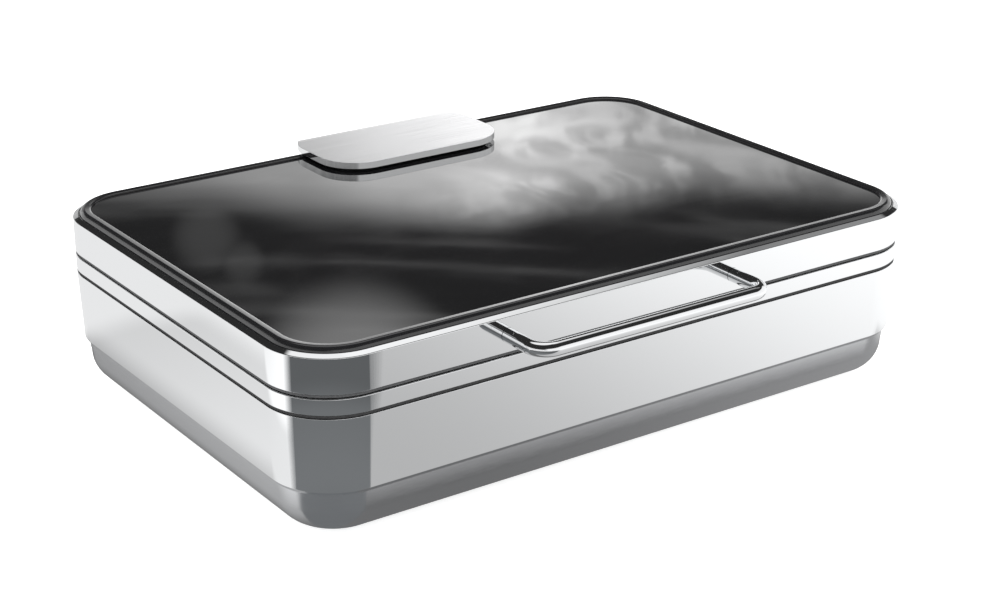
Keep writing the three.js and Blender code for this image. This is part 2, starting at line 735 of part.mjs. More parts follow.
// The cover's side view, extruded along X and trimmed to a plan outline with four round corners.
function makeHingeCover() {
  const outerBend = 16;
  const innerBend = 10;
  const wall = 3.4;
  const inside = COVER_BACK - wall;
  const side = new THREE.Shape();
  side.moveTo(COVER_FRONT, COVER_BOTTOM);
  side.lineTo(inside - innerBend, COVER_BOTTOM);
  side.absarc(inside - innerBend, COVER_BOTTOM - innerBend, innerBend, Math.PI / 2, 0, true);
  side.lineTo(inside, COVER_LOWER_EDGE);
  side.lineTo(COVER_BACK, COVER_LOWER_EDGE);
  side.lineTo(COVER_BACK, COVER_TOP - outerBend);
  side.absarc(COVER_BACK - outerBend, COVER_TOP - outerBend, outerBend, 0, Math.PI / 2);
  side.lineTo(COVER_FRONT, COVER_TOP);
  side.closePath();
  const bent = new THREE.ExtrudeGeometry(side, { depth: COVER_WIDTH, bevelEnabled: false, curveSegments: 6 });
  bent.rotateY(Math.PI / 2).rotateX(Math.PI / 2).translate(-COVER_WIDTH / 2, 0, 0);
  const reach = COVER_BACK - COVER_FRONT;
  const outline = plate(roundedRectangle(COVER_WIDTH, reach, COVER_CORNER), 100, 200, 8);
  outline.translate(0, COVER_FRONT + reach / 2, 0);
  return common(bent, outline).translate(HINGE_X, 0, 0);
}

function makeHingePad() {
  const shape = roundedRectangle(COVER_WIDTH - 20, 58, 24);
  for (const x of [-50, 50]) shape.holes.push(circleHole(x, COVER_BOLT_Y - 170.5, 5));
  return plate(shape, GLASS_TOP + GAP, COVER_BOTTOM - GAP).translate(HINGE_X, 170.5, 0);
}

function makeClampPlate() {
  const shape = roundedRectangle(150, 36, 6);
  for (const x of [-50, 50]) shape.holes.push(circleHole(x, COVER_BOLT_Y - 169, 5));
  return plate(shape, 153, GLASS_TOP - GLASS_THICKNESS - GAP).translate(HINGE_X, 169, 0);
}

function makeCoverBolt() {
  return turned([[0, 148], [4, 148], [4, 149], [7, 149], [7, 152.6], [4, 152.6], [4, 162.7], [0, 162.7]], 12);
}

function knuckle(low, high) {
  return rodAlongX(KNUCKLE_RADIUS, low, high, 18).translate(HINGE_X, AXIS_Y, AXIS_Z);
}

function pinBore(low, high) {
  return rodAlongX(PIN_RADIUS + GAP, low, high, 16).translate(HINGE_X, AXIS_Y, AXIS_Z);
}

// The lid's half: a plate up the back of the band, with one wide knuckle in the middle.
function makeLidBracket() {
  const low = HINGE_X - 70;
  const high = HINGE_X + 70;
  const leaf = boxBetween([low, HALF_Y + GAP, BAND_BOTTOM + 2], [high, HALF_Y + 2.8, 152]);
  const web = boxBetween([HINGE_X - 34, HALF_Y + GAP, BAND_BOTTOM + 2], [HINGE_X + 34, AXIS_Y + 3, BAND_BOTTOM + 5]);
  return cut(join(leaf, web, knuckle(-34, 34)), pinBore(-80, 80));
}

// The base's half: a plate down the back of the collar and shell, with two outer knuckles.
function makeBaseBracket() {
  const leaf = boxBetween([HINGE_X - 70, HALF_Y + GAP, 84], [HINGE_X + 70, HALF_Y + 2.8, 119]);
  const webs = [[-62, -35], [35, 62]].map(([low, high]) => boxBetween(
    [HINGE_X + low, HALF_Y + GAP, 116],
    [HINGE_X + high, AXIS_Y + 3, 120.5],
  ));
  return cut(join(leaf, ...webs, knuckle(-62, -35), knuckle(35, 62)), pinBore(-80, 80));
}

function makeHingePin() {
  return rodAlongX(PIN_RADIUS, -86, 86, 14).translate(HINGE_X, AXIS_Y, AXIS_Z);
}

// A soft-close damper sits on each end of the pin.
function makeDamper(low, high) {
  const bore = pinBore(low - 5, high + 5);
  return cut(rodAlongX(KNUCKLE_RADIUS, low, high, 18).translate(HINGE_X, AXIS_Y, AXIS_Z), bore);
}

addPart('hinge_cover', makeHingeCover(), 'mirrorSteel');
addPart('hinge_pad', makeHingePad(), 'rubber');
addPart('hinge_clamp_plate', makeClampPlate(), 'dullSteel');
coverBolts.forEach((x, i) => {
  addPart(`hinge_cover_bolt_${i + 1}`, makeCoverBolt().translate(x, COVER_BOLT_Y, 0), 'dullSteel');
});
addPart('hinge_lid_bracket', makeLidBracket(), 'satinSteel');
addPart('hinge_base_bracket', makeBaseBracket(), 'satinSteel');
addPart('hinge_pin', makeHingePin(), 'dullSteel');
addPart('hinge_damper_left', makeDamper(-84, -63), 'blackPlastic');
addPart('hinge_damper_right', makeDamper(63, 84), 'blackPlastic');

export default model;
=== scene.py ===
import json
import math

import bmesh
import bpy
from mathutils import Matrix, Vector


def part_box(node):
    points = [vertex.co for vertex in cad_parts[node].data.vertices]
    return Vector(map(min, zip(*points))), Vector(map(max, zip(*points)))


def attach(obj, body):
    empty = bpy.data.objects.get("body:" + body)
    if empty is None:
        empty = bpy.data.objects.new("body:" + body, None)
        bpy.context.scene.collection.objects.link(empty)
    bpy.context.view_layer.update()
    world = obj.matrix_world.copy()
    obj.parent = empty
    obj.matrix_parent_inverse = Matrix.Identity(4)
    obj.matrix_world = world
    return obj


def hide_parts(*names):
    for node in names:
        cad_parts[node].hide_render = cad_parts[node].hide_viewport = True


# Looks of the electric buffet server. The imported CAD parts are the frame; the sheet metal, glass, rim,
# handle, hinge and controls are made here as fine smooth meshes over the same sizes. Metres, +Z up,
# the handle at the front (-Y) and the hinge and controls at the back (+Y).

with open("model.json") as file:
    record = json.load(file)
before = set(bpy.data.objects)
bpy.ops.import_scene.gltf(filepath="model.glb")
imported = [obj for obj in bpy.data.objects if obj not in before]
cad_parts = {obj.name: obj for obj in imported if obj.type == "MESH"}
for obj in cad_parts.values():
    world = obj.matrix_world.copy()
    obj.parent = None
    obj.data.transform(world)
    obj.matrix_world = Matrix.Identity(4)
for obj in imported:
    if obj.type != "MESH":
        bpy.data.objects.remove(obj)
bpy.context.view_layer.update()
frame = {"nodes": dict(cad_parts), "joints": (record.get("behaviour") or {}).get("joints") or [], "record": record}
scene = bpy.context.scene
MM = 0.001

# ---------------- sizes and places, from the frame

band_low, band_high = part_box("lid_band")
shell_low, shell_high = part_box("base_shell")
collar_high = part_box("base_collar")[1]
glass_low, glass_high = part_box("lid_glass")
rim_low, rim_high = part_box("lid_rim")
cover_low, cover_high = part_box("hinge_cover")
pin_low, pin_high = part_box("hinge_pin")
joints = {joint["name"]: joint for joint in frame["joints"]}

CENTRE_Y = (band_low.y + band_high.y) / 2
BODY = {"half_x": band_high.x, "half_y": (band_high.y - band_low.y) / 2, "corner": 56 * MM, "rate": 1.0}
CORNER_STEPS = 20                     # quads in a quarter turn of a corner
GAP = 0.3 * MM

SHEET = 1.5 * MM
STEP_Z = 47.1 * MM
WALL_TAPER = 2.5 * MM
COLLAR_BOTTOM = 110.8 * MM
COLLAR_SKIRT_BOTTOM = 100 * MM
BAND_TOP = 156 * MM
SHELF_TOP = 154.6 * MM
BAND_SHEET = 1.4 * MM


def in_mm(*points):
    """Points given in millimetres, in metres."""
    return [tuple(value * MM for value in point) for point in points]


def smooth_turn(count):
    """Evenly spaced angles over a quarter turn, both ends included."""
    return [step / count * math.pi / 2 for step in range(count + 1)]


# ---------------- mesh helpers


def place_mesh(name, mesh):
    obj = bpy.data.objects.new(name, mesh)
    scene.collection.objects.link(obj)
    return obj


def make_object(name, bm, materials, sharp_deg=40.0, weighted=True):
    """A smooth-shaded object from a bmesh. Flat faces stay flat: the small rounds take up the turn."""
    bmesh.ops.recalc_face_normals(bm, faces=bm.faces[:])
    mesh = bpy.data.meshes.new(name)
    bm.to_mesh(mesh)
    bm.free()
    for material in materials:
        mesh.materials.append(material)
    mesh.shade_smooth()
    mesh.set_sharp_from_angle(angle=math.radians(sharp_deg))
    obj = place_mesh(name, mesh)
    if weighted:
        keep_flats_flat(obj)
    return obj


def keep_flats_flat(obj):
    modifier = obj.modifiers.new("flat_faces", "WEIGHTED_NORMAL")
    modifier.weight = 80
    modifier.keep_sharp = True


def soften_edges(obj, width, segments=3, angle_deg=38.0):
    """Rounds the sharp edges of a piece, after joining any split corners."""
    weld = obj.modifiers.new("weld", "WELD")
    weld.merge_threshold = 0.01 * MM
    bevel = obj.modifiers.new("edges", "BEVEL")
    bevel.width = width
    bevel.segments = segments
    bevel.limit_method = "ANGLE"
    bevel.angle_limit = math.radians(angle_deg)
    bevel.use_clamp_overlap = True
    keep_flats_flat(obj)


def rounded_section(corners, steps_per_quarter=4):
    """A closed section with its corners rounded, from (inset, z, radius) corners, all in metres."""
    section = []
    count = len(corners)
    for i, (u, z, radius) in enumerate(corners):
        here = Vector((u, z))
        before = Vector(corners[i - 1][:2]) - here
        after = Vector(corners[(i + 1) % count][:2]) - here
        if radius <= 0 or before.length < 1e-9 or after.length < 1e-9:
            section.append((u, z))
            continue
        between = before.angle(after)
        turn = math.pi - between
        if turn < math.radians(1):
            section.append((u, z))
            continue
        tangent = min(radius * math.tan(turn / 2), 0.48 * before.length, 0.48 * after.length)
        radius = tangent / math.tan(turn / 2)
        start = here + before.normalized() * tangent
        end = here + after.normalized() * tangent
        centre = here + (before.normalized() + after.normalized()).normalized() * (radius / math.cos(turn / 2))
        steps = max(2, math.ceil(turn / (math.pi / 2) * steps_per_quarter))
        first, last = start - centre, end - centre
        for step in range(steps + 1):
            t = step / steps
            weight_a = math.sin((1 - t) * turn) / math.sin(turn)
            weight_b = math.sin(t * turn) / math.sin(turn)
            section.append(tuple(centre + first * weight_a + last * weight_b))
    return section


def outline(half_x, half_y, corner, z):
    """Points round a rectangle with round corners, centred on the body."""
    points = []
    for quarter, (side_x, side_y) in enumerate([(1, 1), (-1, 1), (-1, -1), (1, -1)]):
        for angle in smooth_turn(CORNER_STEPS):
            turn = quarter * math.pi / 2 + angle
            x = side_x * (half_x - corner) + corner * math.cos(turn)
            y = side_y * (half_y - corner) + corner * math.sin(turn)
            points.append(Vector((x, y + CENTRE_Y, z)))
    return points


def sweep_outline(name, section, plan, materials, closed=True, tone=None):
    """A section of (inset, z) carried round a plan outline. An open section is filled flat at both ends."""
    bm = bmesh.new()
    loops = []
    for inset, z in section:
        corner = max(plan["corner"] - plan["rate"] * inset, 2 * MM)
        points = outline(plan["half_x"] - inset, plan["half_y"] - inset, corner, z)
        loops.append([bm.verts.new(point) for point in points])
    spans = len(loops) if closed else len(loops) - 1
    for ring in range(spans):
        low, high = loops[ring], loops[(ring + 1) % len(loops)]
        middle_z = (section[ring][1] + section[(ring + 1) % len(section)][1]) / 2
        for i in range(len(low)):
            j = (i + 1) % len(low)
            face = bm.faces.new((low[i], low[j], high[j], high[i]))
            if tone:
                face.material_index = tone(middle_z)
    if not closed:
        bm.faces.new(loops[0])
        bm.faces.new(loops[-1])
    return make_object(name, bm, materials)


def lathe(profile, segments=64, flute=None):
    """A bmesh turned about +Z from (radius, z) points that start and end on the axis."""
    bm = bmesh.new()
    rings = []
    for radius, z in profile:
        if radius < 1e-7:
            rings.append([bm.verts.new((0, 0, z))])
            continue
        ring = []
        for i in range(segments):
            turn = i / segments * 2 * math.pi
            reach = radius - (flute(turn, z) if flute else 0)
            ring.append(bm.verts.new((reach * math.cos(turn), reach * math.sin(turn), z)))
        rings.append(ring)
    for low, high in zip(rings, rings[1:]):
        for i in range(segments):
            j = (i + 1) % segments
            corners = [low[i % len(low)], low[j % len(low)], high[j % len(high)], high[i % len(high)]]
            bm.faces.new(list(dict.fromkeys(corners)))
    return bm


def tube_along(points, radius, sides=32):
    """A bmesh of a round bar along points that all lie at one height."""
    bm = bmesh.new()
    rings = []
    for i, point in enumerate(points):
        ahead = points[min(i + 1, len(points) - 1)] - points[max(i - 1, 0)]
        across = Vector((-ahead.y, ahead.x, 0)).normalized()
        ring = []
        for side in range(sides):
            turn = side / sides * 2 * math.pi
            place = point + across * (radius * math.cos(turn)) + Vector((0, 0, radius * math.sin(turn)))
            ring.append(bm.verts.new(place))
        rings.append(ring)
    for low, high in zip(rings, rings[1:]):
        for i in range(sides):
            j = (i + 1) % sides
            bm.faces.new((low[i], low[j], high[j], high[i]))
    bm.faces.new(rings[0])
    bm.faces.new(rings[-1])
    return bm


def add_box(bm, low, high, round_by=0.0):
    """Adds a box between two corners to a bmesh, with its edges rounded. Returns the corners of a plain one."""
    low, high = Vector(low), Vector(high)
    place = Matrix.Translation((low + high) / 2) @ Matrix.Diagonal((*(high - low), 1))
    made = bmesh.ops.create_cube(bm, size=1, matrix=place)
    if round_by > 0:
        edges = list({edge for vert in made["verts"] for edge in vert.link_edges})
        bmesh.ops.bevel(bm, geom=edges, offset=round_by, segments=3, profile=0.5, affect="EDGES")
        return None
    return made["verts"]


def add_rod_x(bm, low, high, centre, radius, bore=0.0, segments=48, chamfer=0.4 * MM):
    """Adds a rod or a sleeve along X to a bmesh, with its outer edges eased."""
    section = [(radius - chamfer, low), (radius, low + chamfer)]
    section += [(radius, high - chamfer), (radius - chamfer, high)]
    if bore:
        section += [(bore, high), (bore, low)]
    rings = []
    for reach, x in section:
        ring = []
        for i in range(segments):
            turn = i / segments * 2 * math.pi
            ring.append(bm.verts.new((x, centre.y + reach * math.cos(turn), centre.z + reach * math.sin(turn))))
        rings.append(ring)
    pairs = list(zip(rings, rings[1:] + rings[:1])) if bore else list(zip(rings, rings[1:]))
    for near, far in pairs:
        for i in range(segments):
            j = (i + 1) % segments
            bm.faces.new((near[i], near[j], far[j], far[i]))
    if not bore:
        bm.faces.new(rings[0])
        bm.faces.new(rings[-1])


# ---------------- materials

NOISE_SPAN = (0.35, 0.65)             # where most of a noise texture's values lie
NO_STRETCH = (1, 1, 1)
materials = {}


def feed(tree, socket, value):
    """Links an output to a socket, or sets the socket to a plain value."""
    if isinstance(value, bpy.types.NodeSocket):
        tree.links.new(value, socket)
    else:
        socket.default_value = value


def add_node(tree, kind, **inputs):
    """A new node with some inputs set or linked. In their names, _ stands for a space."""
    node = tree.nodes.new(kind)
    for name, value in inputs.items():
        feed(tree, node.inputs[name.replace("_", " ")], value)
    return node


def principled(name, colour, metallic=0.0, roughness=0.4, coat=0.0, ior=1.5):
    """A new material, kept under its name in materials. Returns its node tree and shader."""
    material = bpy.data.materials.new(name)
    material.use_nodes = True
    materials[name] = material
    shader = material.node_tree.nodes["Principled BSDF"]
    shader.inputs["Base Color"].default_value = (*colour, 1)
    shader.inputs["Metallic"].default_value = metallic
    shader.inputs["Roughness"].default_value = roughness
    shader.inputs["Coat Weight"].default_value = coat
    shader.inputs["IOR"].default_value = ior
    return material.node_tree, shader


def noise_on_object(tree, scale, stretch=NO_STRETCH, detail=4.0, distortion=0.0):
    """Noise laid out in the object's own space, stretched along its axes."""
    place = add_node(tree, "ShaderNodeTexCoord").outputs["Object"]
    place = add_node(tree, "ShaderNodeMapping", Vector=place, Scale=stretch).outputs["Vector"]
    noise = add_node(
        tree, "ShaderNodeTexNoise", Vector=place, Scale=scale, Detail=detail, Distortion=distortion)
    return noise.outputs["Fac"]


def vary(tree, pattern, low, high, socket):
    """Drives a socket from a pattern between two values."""
    calm, strong = NOISE_SPAN
    spread = add_node(
        tree, "ShaderNodeMapRange", Value=pattern, From_Min=calm, From_Max=strong, To_Min=low, To_Max=high)
    tree.links.new(spread.outputs["Result"], socket)


def vary_colour(tree, pattern, dark, light, shader):
    ramp = add_node(tree, "ShaderNodeValToRGB", Fac=pattern)
    for element, position, colour in zip(ramp.color_ramp.elements, NOISE_SPAN, (dark, light)):
        element.position = position
        element.color = (*colour, 1)
    tree.links.new(ramp.outputs["Color"], shader.inputs["Base Color"])


def bump(tree, pattern, shader, strength, distance):
    node = add_node(tree, "ShaderNodeBump", Height=pattern, Strength=strength, Distance=distance)
    tree.links.new(node.outputs["Normal"], shader.inputs["Normal"])


def grained(name, colour, metallic, roughness, grain, tones=None, polish=None, relief=None):
    """A material whose grain moves its tones, its roughness and its relief, where these are given.

    The grain is noise of (scale, stretch, detail, distortion), and the relief is (strength, mm)."""
    tree, shader = principled(name, colour, metallic, roughness)
    pattern = noise_on_object(tree, *grain)
    if tones:
        vary_colour(tree, pattern, *tones, shader)
    if polish:
        vary(tree, pattern, *polish, shader.inputs["Roughness"])
    if relief:
        strength, distance = relief
        bump(tree, pattern, shader, strength, distance * MM)


def metal(name, colour, roughness, grain, polish, relief=None):
    grained(name, colour, 1.0, roughness, grain, None, polish, relief)


def heater_sheath():
    tones = (0.24, 0.21, 0.2), (0.52, 0.49, 0.45)
    grained("heater_sheath", (0.42, 0.39, 0.36), 1.0, 0.45, (70, NO_STRETCH, 6, 0.6), tones, (0.36, 0.6))


def copper_bulb():
    tones = (0.55, 0.29, 0.19), (0.85, 0.5, 0.33)
    grained("copper_bulb", (0.78, 0.43, 0.27), 1.0, 0.3, (140, NO_STRETCH, 5), tones)


def mineral_wool():
    tones = (0.66, 0.6, 0.48), (0.86, 0.82, 0.72)
    fibre = (260, (1, 1, 0.5), 8, 1.5)
    grained("mineral_wool", (0.8, 0.75, 0.64), 0.0, 0.95, fibre, tones, relief=(0.8, 0.8))


def ceramic_cream():
    tones = (0.76, 0.72, 0.63), (0.88, 0.85, 0.78)
    body = (420, NO_STRETCH, 5)
    grained("ceramic_cream", (0.84, 0.8, 0.72), 0.0, 0.5, body, tones, relief=(0.15, 0.1))


def soft_dark(name, colour, roughness, depth=0.12):
    """Rubber, silicone and moulded plastic: a flat colour broken by a fine moulded grain."""
    tones = colour, tuple(min(1.0, channel * 1.35 + 0.004) for channel in colour)
    polish = roughness - 0.06, roughness + 0.08
    grained(name, colour, 0.0, roughness, (700, NO_STRETCH, 3), tones, polish, (depth, 0.1))


def tinted_glass():
    """Smoke-tinted toughened glass: dark through its thickness, with a clean hard reflection."""
    tree, shader = principled("tinted_glass", (0.012, 0.012, 0.013), 0.0, 0.02, 1.0, 1.75)
    shader.inputs["Transmission Weight"].default_value = 0.35
    shader.inputs["Coat IOR"].default_value = 1.6
    shader.inputs["Coat Roughness"].default_value = 0.03
    smears = noise_on_object(tree, 7, (1, 2.2, 1), 5, 1.2)
    vary(tree, smears, 0.015, 0.05, shader.inputs["Roughness"])


def rim_black():
    """The lid's rim: deep black with a smooth gloss."""
    tree, shader = principled("rim_black", (0.011, 0.011, 0.012), 0.0, 0.14, 0.6, 1.55)
    shader.inputs["Coat Roughness"].default_value = 0.08
    cast = noise_on_object(tree, 45, detail=4)
    vary(tree, cast, 0.12, 0.2, shader.inputs["Roughness"])


def lamp_red():
    tree, shader = principled("lamp_red", (0.62, 0.05, 0.03), 0.0, 0.12, 0.8, 1.49)
    shader.inputs["Transmission Weight"].default_value = 0.4
    depth = noise_on_object(tree, 300, detail=2)
    vary_colour(tree, depth, (0.5, 0.03, 0.02), (0.75, 0.09, 0.05), shader)


# Polished stainless with faint polishing haze, and the softer polish of the drawn foot.
metal("mirror_steel", (0.93, 0.94, 0.95), 0.03, (18, (1, 1, 0.25), 5), (0.018, 0.045))
metal("soft_steel", (0.86, 0.87, 0.89), 0.2, (60, (1, 1, 14), 4), (0.17, 0.24))
# The satin top of the hinge cover, brushed along X, and the drawn sheet of the pans.
metal("plate_steel", (0.80, 0.80, 0.81), 0.16, (90, (0.08, 9, 9), 5), (0.13, 0.19), (0.02, 0.05))
metal("pan_steel", (0.74, 0.75, 0.76), 0.28, (160, (0.05, 5, 5), 5), (0.23, 0.33), (0.015, 0.03))
metal("bracket_steel", (0.62, 0.63, 0.64), 0.33, (160, (0.2, 3, 3), 4), (0.26, 0.4), (0.06, 0.05))
metal("screw_steel", (0.66, 0.67, 0.68), 0.28, (900, NO_STRETCH, 3), (0.2, 0.38))
metal("aluminium_sheet", (0.78, 0.79, 0.8), 0.38, (110, (0.1, 5, 5), 5), (0.3, 0.46), (0.08, 0.05))
heater_sheath()
copper_bulb()
mineral_wool()
ceramic_cream()
tinted_glass()
rim_black()
lamp_red()
soft_dark("silicone_grey", (0.045, 0.046, 0.048), 0.55)
soft_dark("rubber_black", (0.02, 0.02, 0.021), 0.7, depth=0.2)
soft_dark("black_plastic", (0.018, 0.018, 0.02), 0.42)
soft_dark("wire_brown", (0.2, 0.09, 0.04), 0.5)
soft_dark("wire_blue", (0.03, 0.1, 0.42), 0.5)
soft_dark("wire_green", (0.12, 0.36, 0.06), 0.5)
soft_dark("mark_white", (0.78, 0.78, 0.76), 0.5, depth=0.02)
soft_dark("mark_black", (0.02, 0.02, 0.02), 0.5, depth=0.02)

for subpart in frame["record"]["subparts"]:
    node = frame["nodes"][subpart["node"]]
    node.data.materials.clear()
    node.data.materials.append(materials[subpart["material_slot"]])


def stands_for(obj, body, slot_name, *nodes):
    """A finished piece: it rides on its body and may stand for CAD nodes, which it hides; slot_name is not used.
    """
    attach(obj, body)
    if nodes:
        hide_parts(*nodes)
    return obj


def piece(name, bm, body, slot_name, *nodes, place=None, **options):
    """A finished piece in one material, from a bmesh that may still have to be put in its place."""
    obj = make_object(name, bm, [materials[slot_name]], **options)
    if place:
        obj.data.transform(place)
    return stands_for(obj, body, slot_name, *nodes)


def swept_piece(name, section, body, slot_name, node, plan=BODY, closed=True):
    """A finished piece in one material: a section carried round a plan outline."""
    obj = sweep_outline(name, section, plan, [materials[slot_name]], closed)
    return stands_for(obj, body, slot_name, node)


# ---------------- base: shell, collar and gasket


def shell_section():
    """The shell's sheet in section: outside from the top edge to the service opening, then back inside."""
    low, top = shell_low.z, shell_high.z
    foot = 28 * MM
    foot_inset = WALL_TAPER + 4.9 * MM
    opening_inset = BODY["half_y"] - 120 * MM
    outside = [
        (0, top, 0.5 * MM),
        (WALL_TAPER, STEP_Z, 1.0 * MM),
        (WALL_TAPER + 3.4 * MM, STEP_Z - 3.4 * MM, 1.4 * MM),
        (foot_inset, low + foot, 0),
    ]
    outer = rounded_section([*outside, (foot_inset + foot, low, 0), (60 * MM, top, 0)], 5)[:-2]
    for angle in smooth_turn(12)[1:]:
        outer.append((foot_inset + foot * (1 - math.cos(angle)), low + foot * (1 - math.sin(angle))))
    outer.append((opening_inset, low))
    inner = [
        (opening_inset, low + SHEET),
        (foot_inset + foot, low + SHEET),
        (foot_inset + foot * 0.3 + SHEET, low + foot * 0.3 + SHEET),
        (foot_inset + SHEET, low + foot),
        (WALL_TAPER + 3.6 * MM + SHEET, STEP_Z - 4 * MM),
        (WALL_TAPER + SHEET, STEP_Z),
        (SHEET, top),
    ]
    return outer + inner


def build_shell():
    steels = [materials["mirror_steel"], materials["soft_steel"]]
    step_end = STEP_Z - 3.0 * MM
    shell = sweep_outline("base_shell_skin", shell_section(), BODY, steels, tone=lambda z: int(z < step_end))
    stands_for(shell, "base", "mirror_steel", "base_shell")


def collar_section():
    low, top = COLLAR_BOTTOM, collar_high.z
    return rounded_section([
        (0, low, 0.4 * MM),
        (0, top, 0.9 * MM),
        (48 * MM, top, 1.2 * MM),
        (48 * MM, top - 6 * MM, 0.3 * MM),
        (46.5 * MM, top - 6 * MM, 0.3 * MM),
        (46.5 * MM, top - SHEET, 0.3 * MM),
        (SHEET, top - SHEET, 0.3 * MM),
        (SHEET, low + SHEET, 0.3 * MM),
        (4.5 * MM, low + SHEET, 0.3 * MM),
        (4.5 * MM, COLLAR_SKIRT_BOTTOM, 0.3 * MM),
        (3 * MM, COLLAR_SKIRT_BOTTOM, 0.3 * MM),
        (3 * MM, low, 0.3 * MM),
    ], 4)


def build_collar():
    plan = {**BODY, "rate": 22 / 48}
    swept_piece("base_collar_skin", collar_section(), "base", "mirror_steel", "base_collar", plan)
    low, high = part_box("collar_gasket")
    strip = [(0.9 * MM, low.z), (0.9 * MM, high.z), (2.7 * MM, high.z), (2.7 * MM, low.z)]
    swept_piece("collar_gasket_strip", strip, "base", "rubber_black", "collar_gasket")


# ---------------- the two pans


def pan_section(rim_inset, floor_inset, rim_z, floor_z, foot, sheet):
    """A pan drawn from one sheet, from the middle of its underside out to the rim and back inside."""
    under, over = [], []
    for angle in reversed(smooth_turn(8)):
        inset = floor_inset + foot * (1 - math.cos(angle))
        under.append((inset, floor_z + foot * (1 - math.sin(angle))))
    inner_foot = foot - sheet
    for angle in smooth_turn(8):
        inset = floor_inset + sheet + inner_foot * (1 - math.cos(angle))
        over.append((inset, floor_z + sheet + inner_foot * (1 - math.sin(angle))))
    lip = [
        (rim_inset, rim_z - 1.2 * MM),
        (rim_inset - 0.8 * MM, rim_z),
        (0.4 * MM, rim_z),
        (0, rim_z + sheet / 2),
        (0.4 * MM, rim_z + sheet),
        (rim_inset - 0.6 * MM, rim_z + sheet),
        (rim_inset + 0.7 * MM, rim_z + sheet * 0.6),
        (rim_inset + sheet, rim_z - 1.5 * MM),
    ]
    return under + lip + over


def build_pan(name, node, body, rim_inset, floor_inset, foot, corner, rate):
    low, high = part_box(node)
    plan = {"half_x": high.x, "half_y": (high.y - low.y) / 2, "corner": corner, "rate": rate}
    section = pan_section(rim_inset, floor_inset, high.z - 1 * MM, low.z, foot, 1 * MM)
    swept_piece(name, section, body, "pan_steel", node, plan, closed=False)


# ---------------- lid: band, glass, rim, frame and seals


def band_section():
    low = band_low.z
    bevel_width, bevel_top, lip = 4.4 * MM, band_high.z, 1.2 * MM
    return rounded_section([
        (0, low, 0.5 * MM),
        (0, BAND_TOP, 0.8 * MM),
        (bevel_width, bevel_top, 0.3 * MM),
        (bevel_width + lip, bevel_top, 0.3 * MM),
        (bevel_width + lip, SHELF_TOP, 0.2 * MM),
        (26 * MM, SHELF_TOP, 0.2 * MM),
        (26 * MM, SHELF_TOP - BAND_SHEET, 0.2 * MM),
        (BAND_SHEET, SHELF_TOP - BAND_SHEET, 0.5 * MM),
        (BAND_SHEET, low, 0.5 * MM),
    ], 4)


def rim_section():
    """A channel whose convex back stands outside the glass and whose lip laps over the glass's edge."""
    crest, lap = rim_high.z, glass_high.z + GAP
    outer, inner, foot = 5.9 * MM, 15.5 * MM, 9.0 * MM
    back_width, back_height = 4.4 * MM, 6.2 * MM
    section = [(outer, rim_low.z), (foot, rim_low.z), (foot, lap), (inner, lap)]
    for reach, drop in in_mm((0, 1.0), (0.4, 0.62), (1.2, 0.42), (3.0, 0.18), (5.0, 0)):
        section.append((inner - reach, crest - drop))
    for angle in reversed(smooth_turn(10)[1:]):
        inset, drop = back_width * (1 - math.cos(angle)), back_height * (1 - math.sin(angle))
        section.append((outer + inset, crest - drop))
    return section


def build_glass():
    edge, ease = 9.3 * MM, 0.5 * MM
    section = [
        (edge + ease, glass_low.z),
        (edge, glass_low.z + ease),
        (edge, glass_high.z - ease),
        (edge + ease, glass_high.z),
    ]
    swept_piece("lid_glass_pane", section, "lid", "tinted_glass", "lid_glass", closed=False)


def build_glass_gasket():
    low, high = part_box("glass_gasket")
    strip = [(12 * MM, low.z), (12 * MM, high.z), (24 * MM, high.z), (24 * MM, low.z)]
    swept_piece("glass_gasket_strip", strip, "lid", "silicone_grey", "glass_gasket")


def build_inner_frame():
    low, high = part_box("lid_inner_frame")
    outer, inner, wall = 9 * MM, 30 * MM, 1.2 * MM
    section = rounded_section([
        (outer, high.z, 1.0 * MM),
        (inner, high.z, 0.3 * MM),
        (inner, high.z - wall, 0.3 * MM),
        (outer + wall, high.z - wall, 0.4 * MM),
        (outer + wall, low.z, 0.3 * MM),
        (outer, low.z, 0.3 * MM),
    ], 4)
    swept_piece("lid_inner_frame_skin", section, "lid", "pan_steel", "lid_inner_frame")


def build_lid_seal():
    """A flat lip under the band's edge, with a rib that stands up inside the band."""
    low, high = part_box("lid_seal")
    outer, inner, lip_top = 0.9 * MM, 6.5 * MM, low.z + 2.3 * MM
    rib_outer, rib_inner = 1.7 * MM, 2.7 * MM
    section = rounded_section([
        (outer, low.z, 0.5 * MM),
        (inner, low.z, 0.8 * MM),
        (inner, lip_top, 0.5 * MM),
        (rib_inner, lip_top, 0.2 * MM),
        (rib_inner, high.z, 0.3 * MM),
        (rib_outer, high.z, 0.3 * MM),
        (rib_outer, lip_top, 0.2 * MM),
        (outer, lip_top, 0.3 * MM),
    ], 3)
    swept_piece("lid_seal_profile", section, "lid", "silicone_grey", "lid_seal")


def build_lid():
    swept_piece("lid_band_skin", band_section(), "lid", "mirror_steel", "lid_band")
    build_glass()
    swept_piece("lid_rim_moulding", rim_section(), "lid", "rim_black", "lid_rim")
    build_glass_gasket()
    build_inner_frame()
    build_lid_seal()


# ---------------- lid: handle


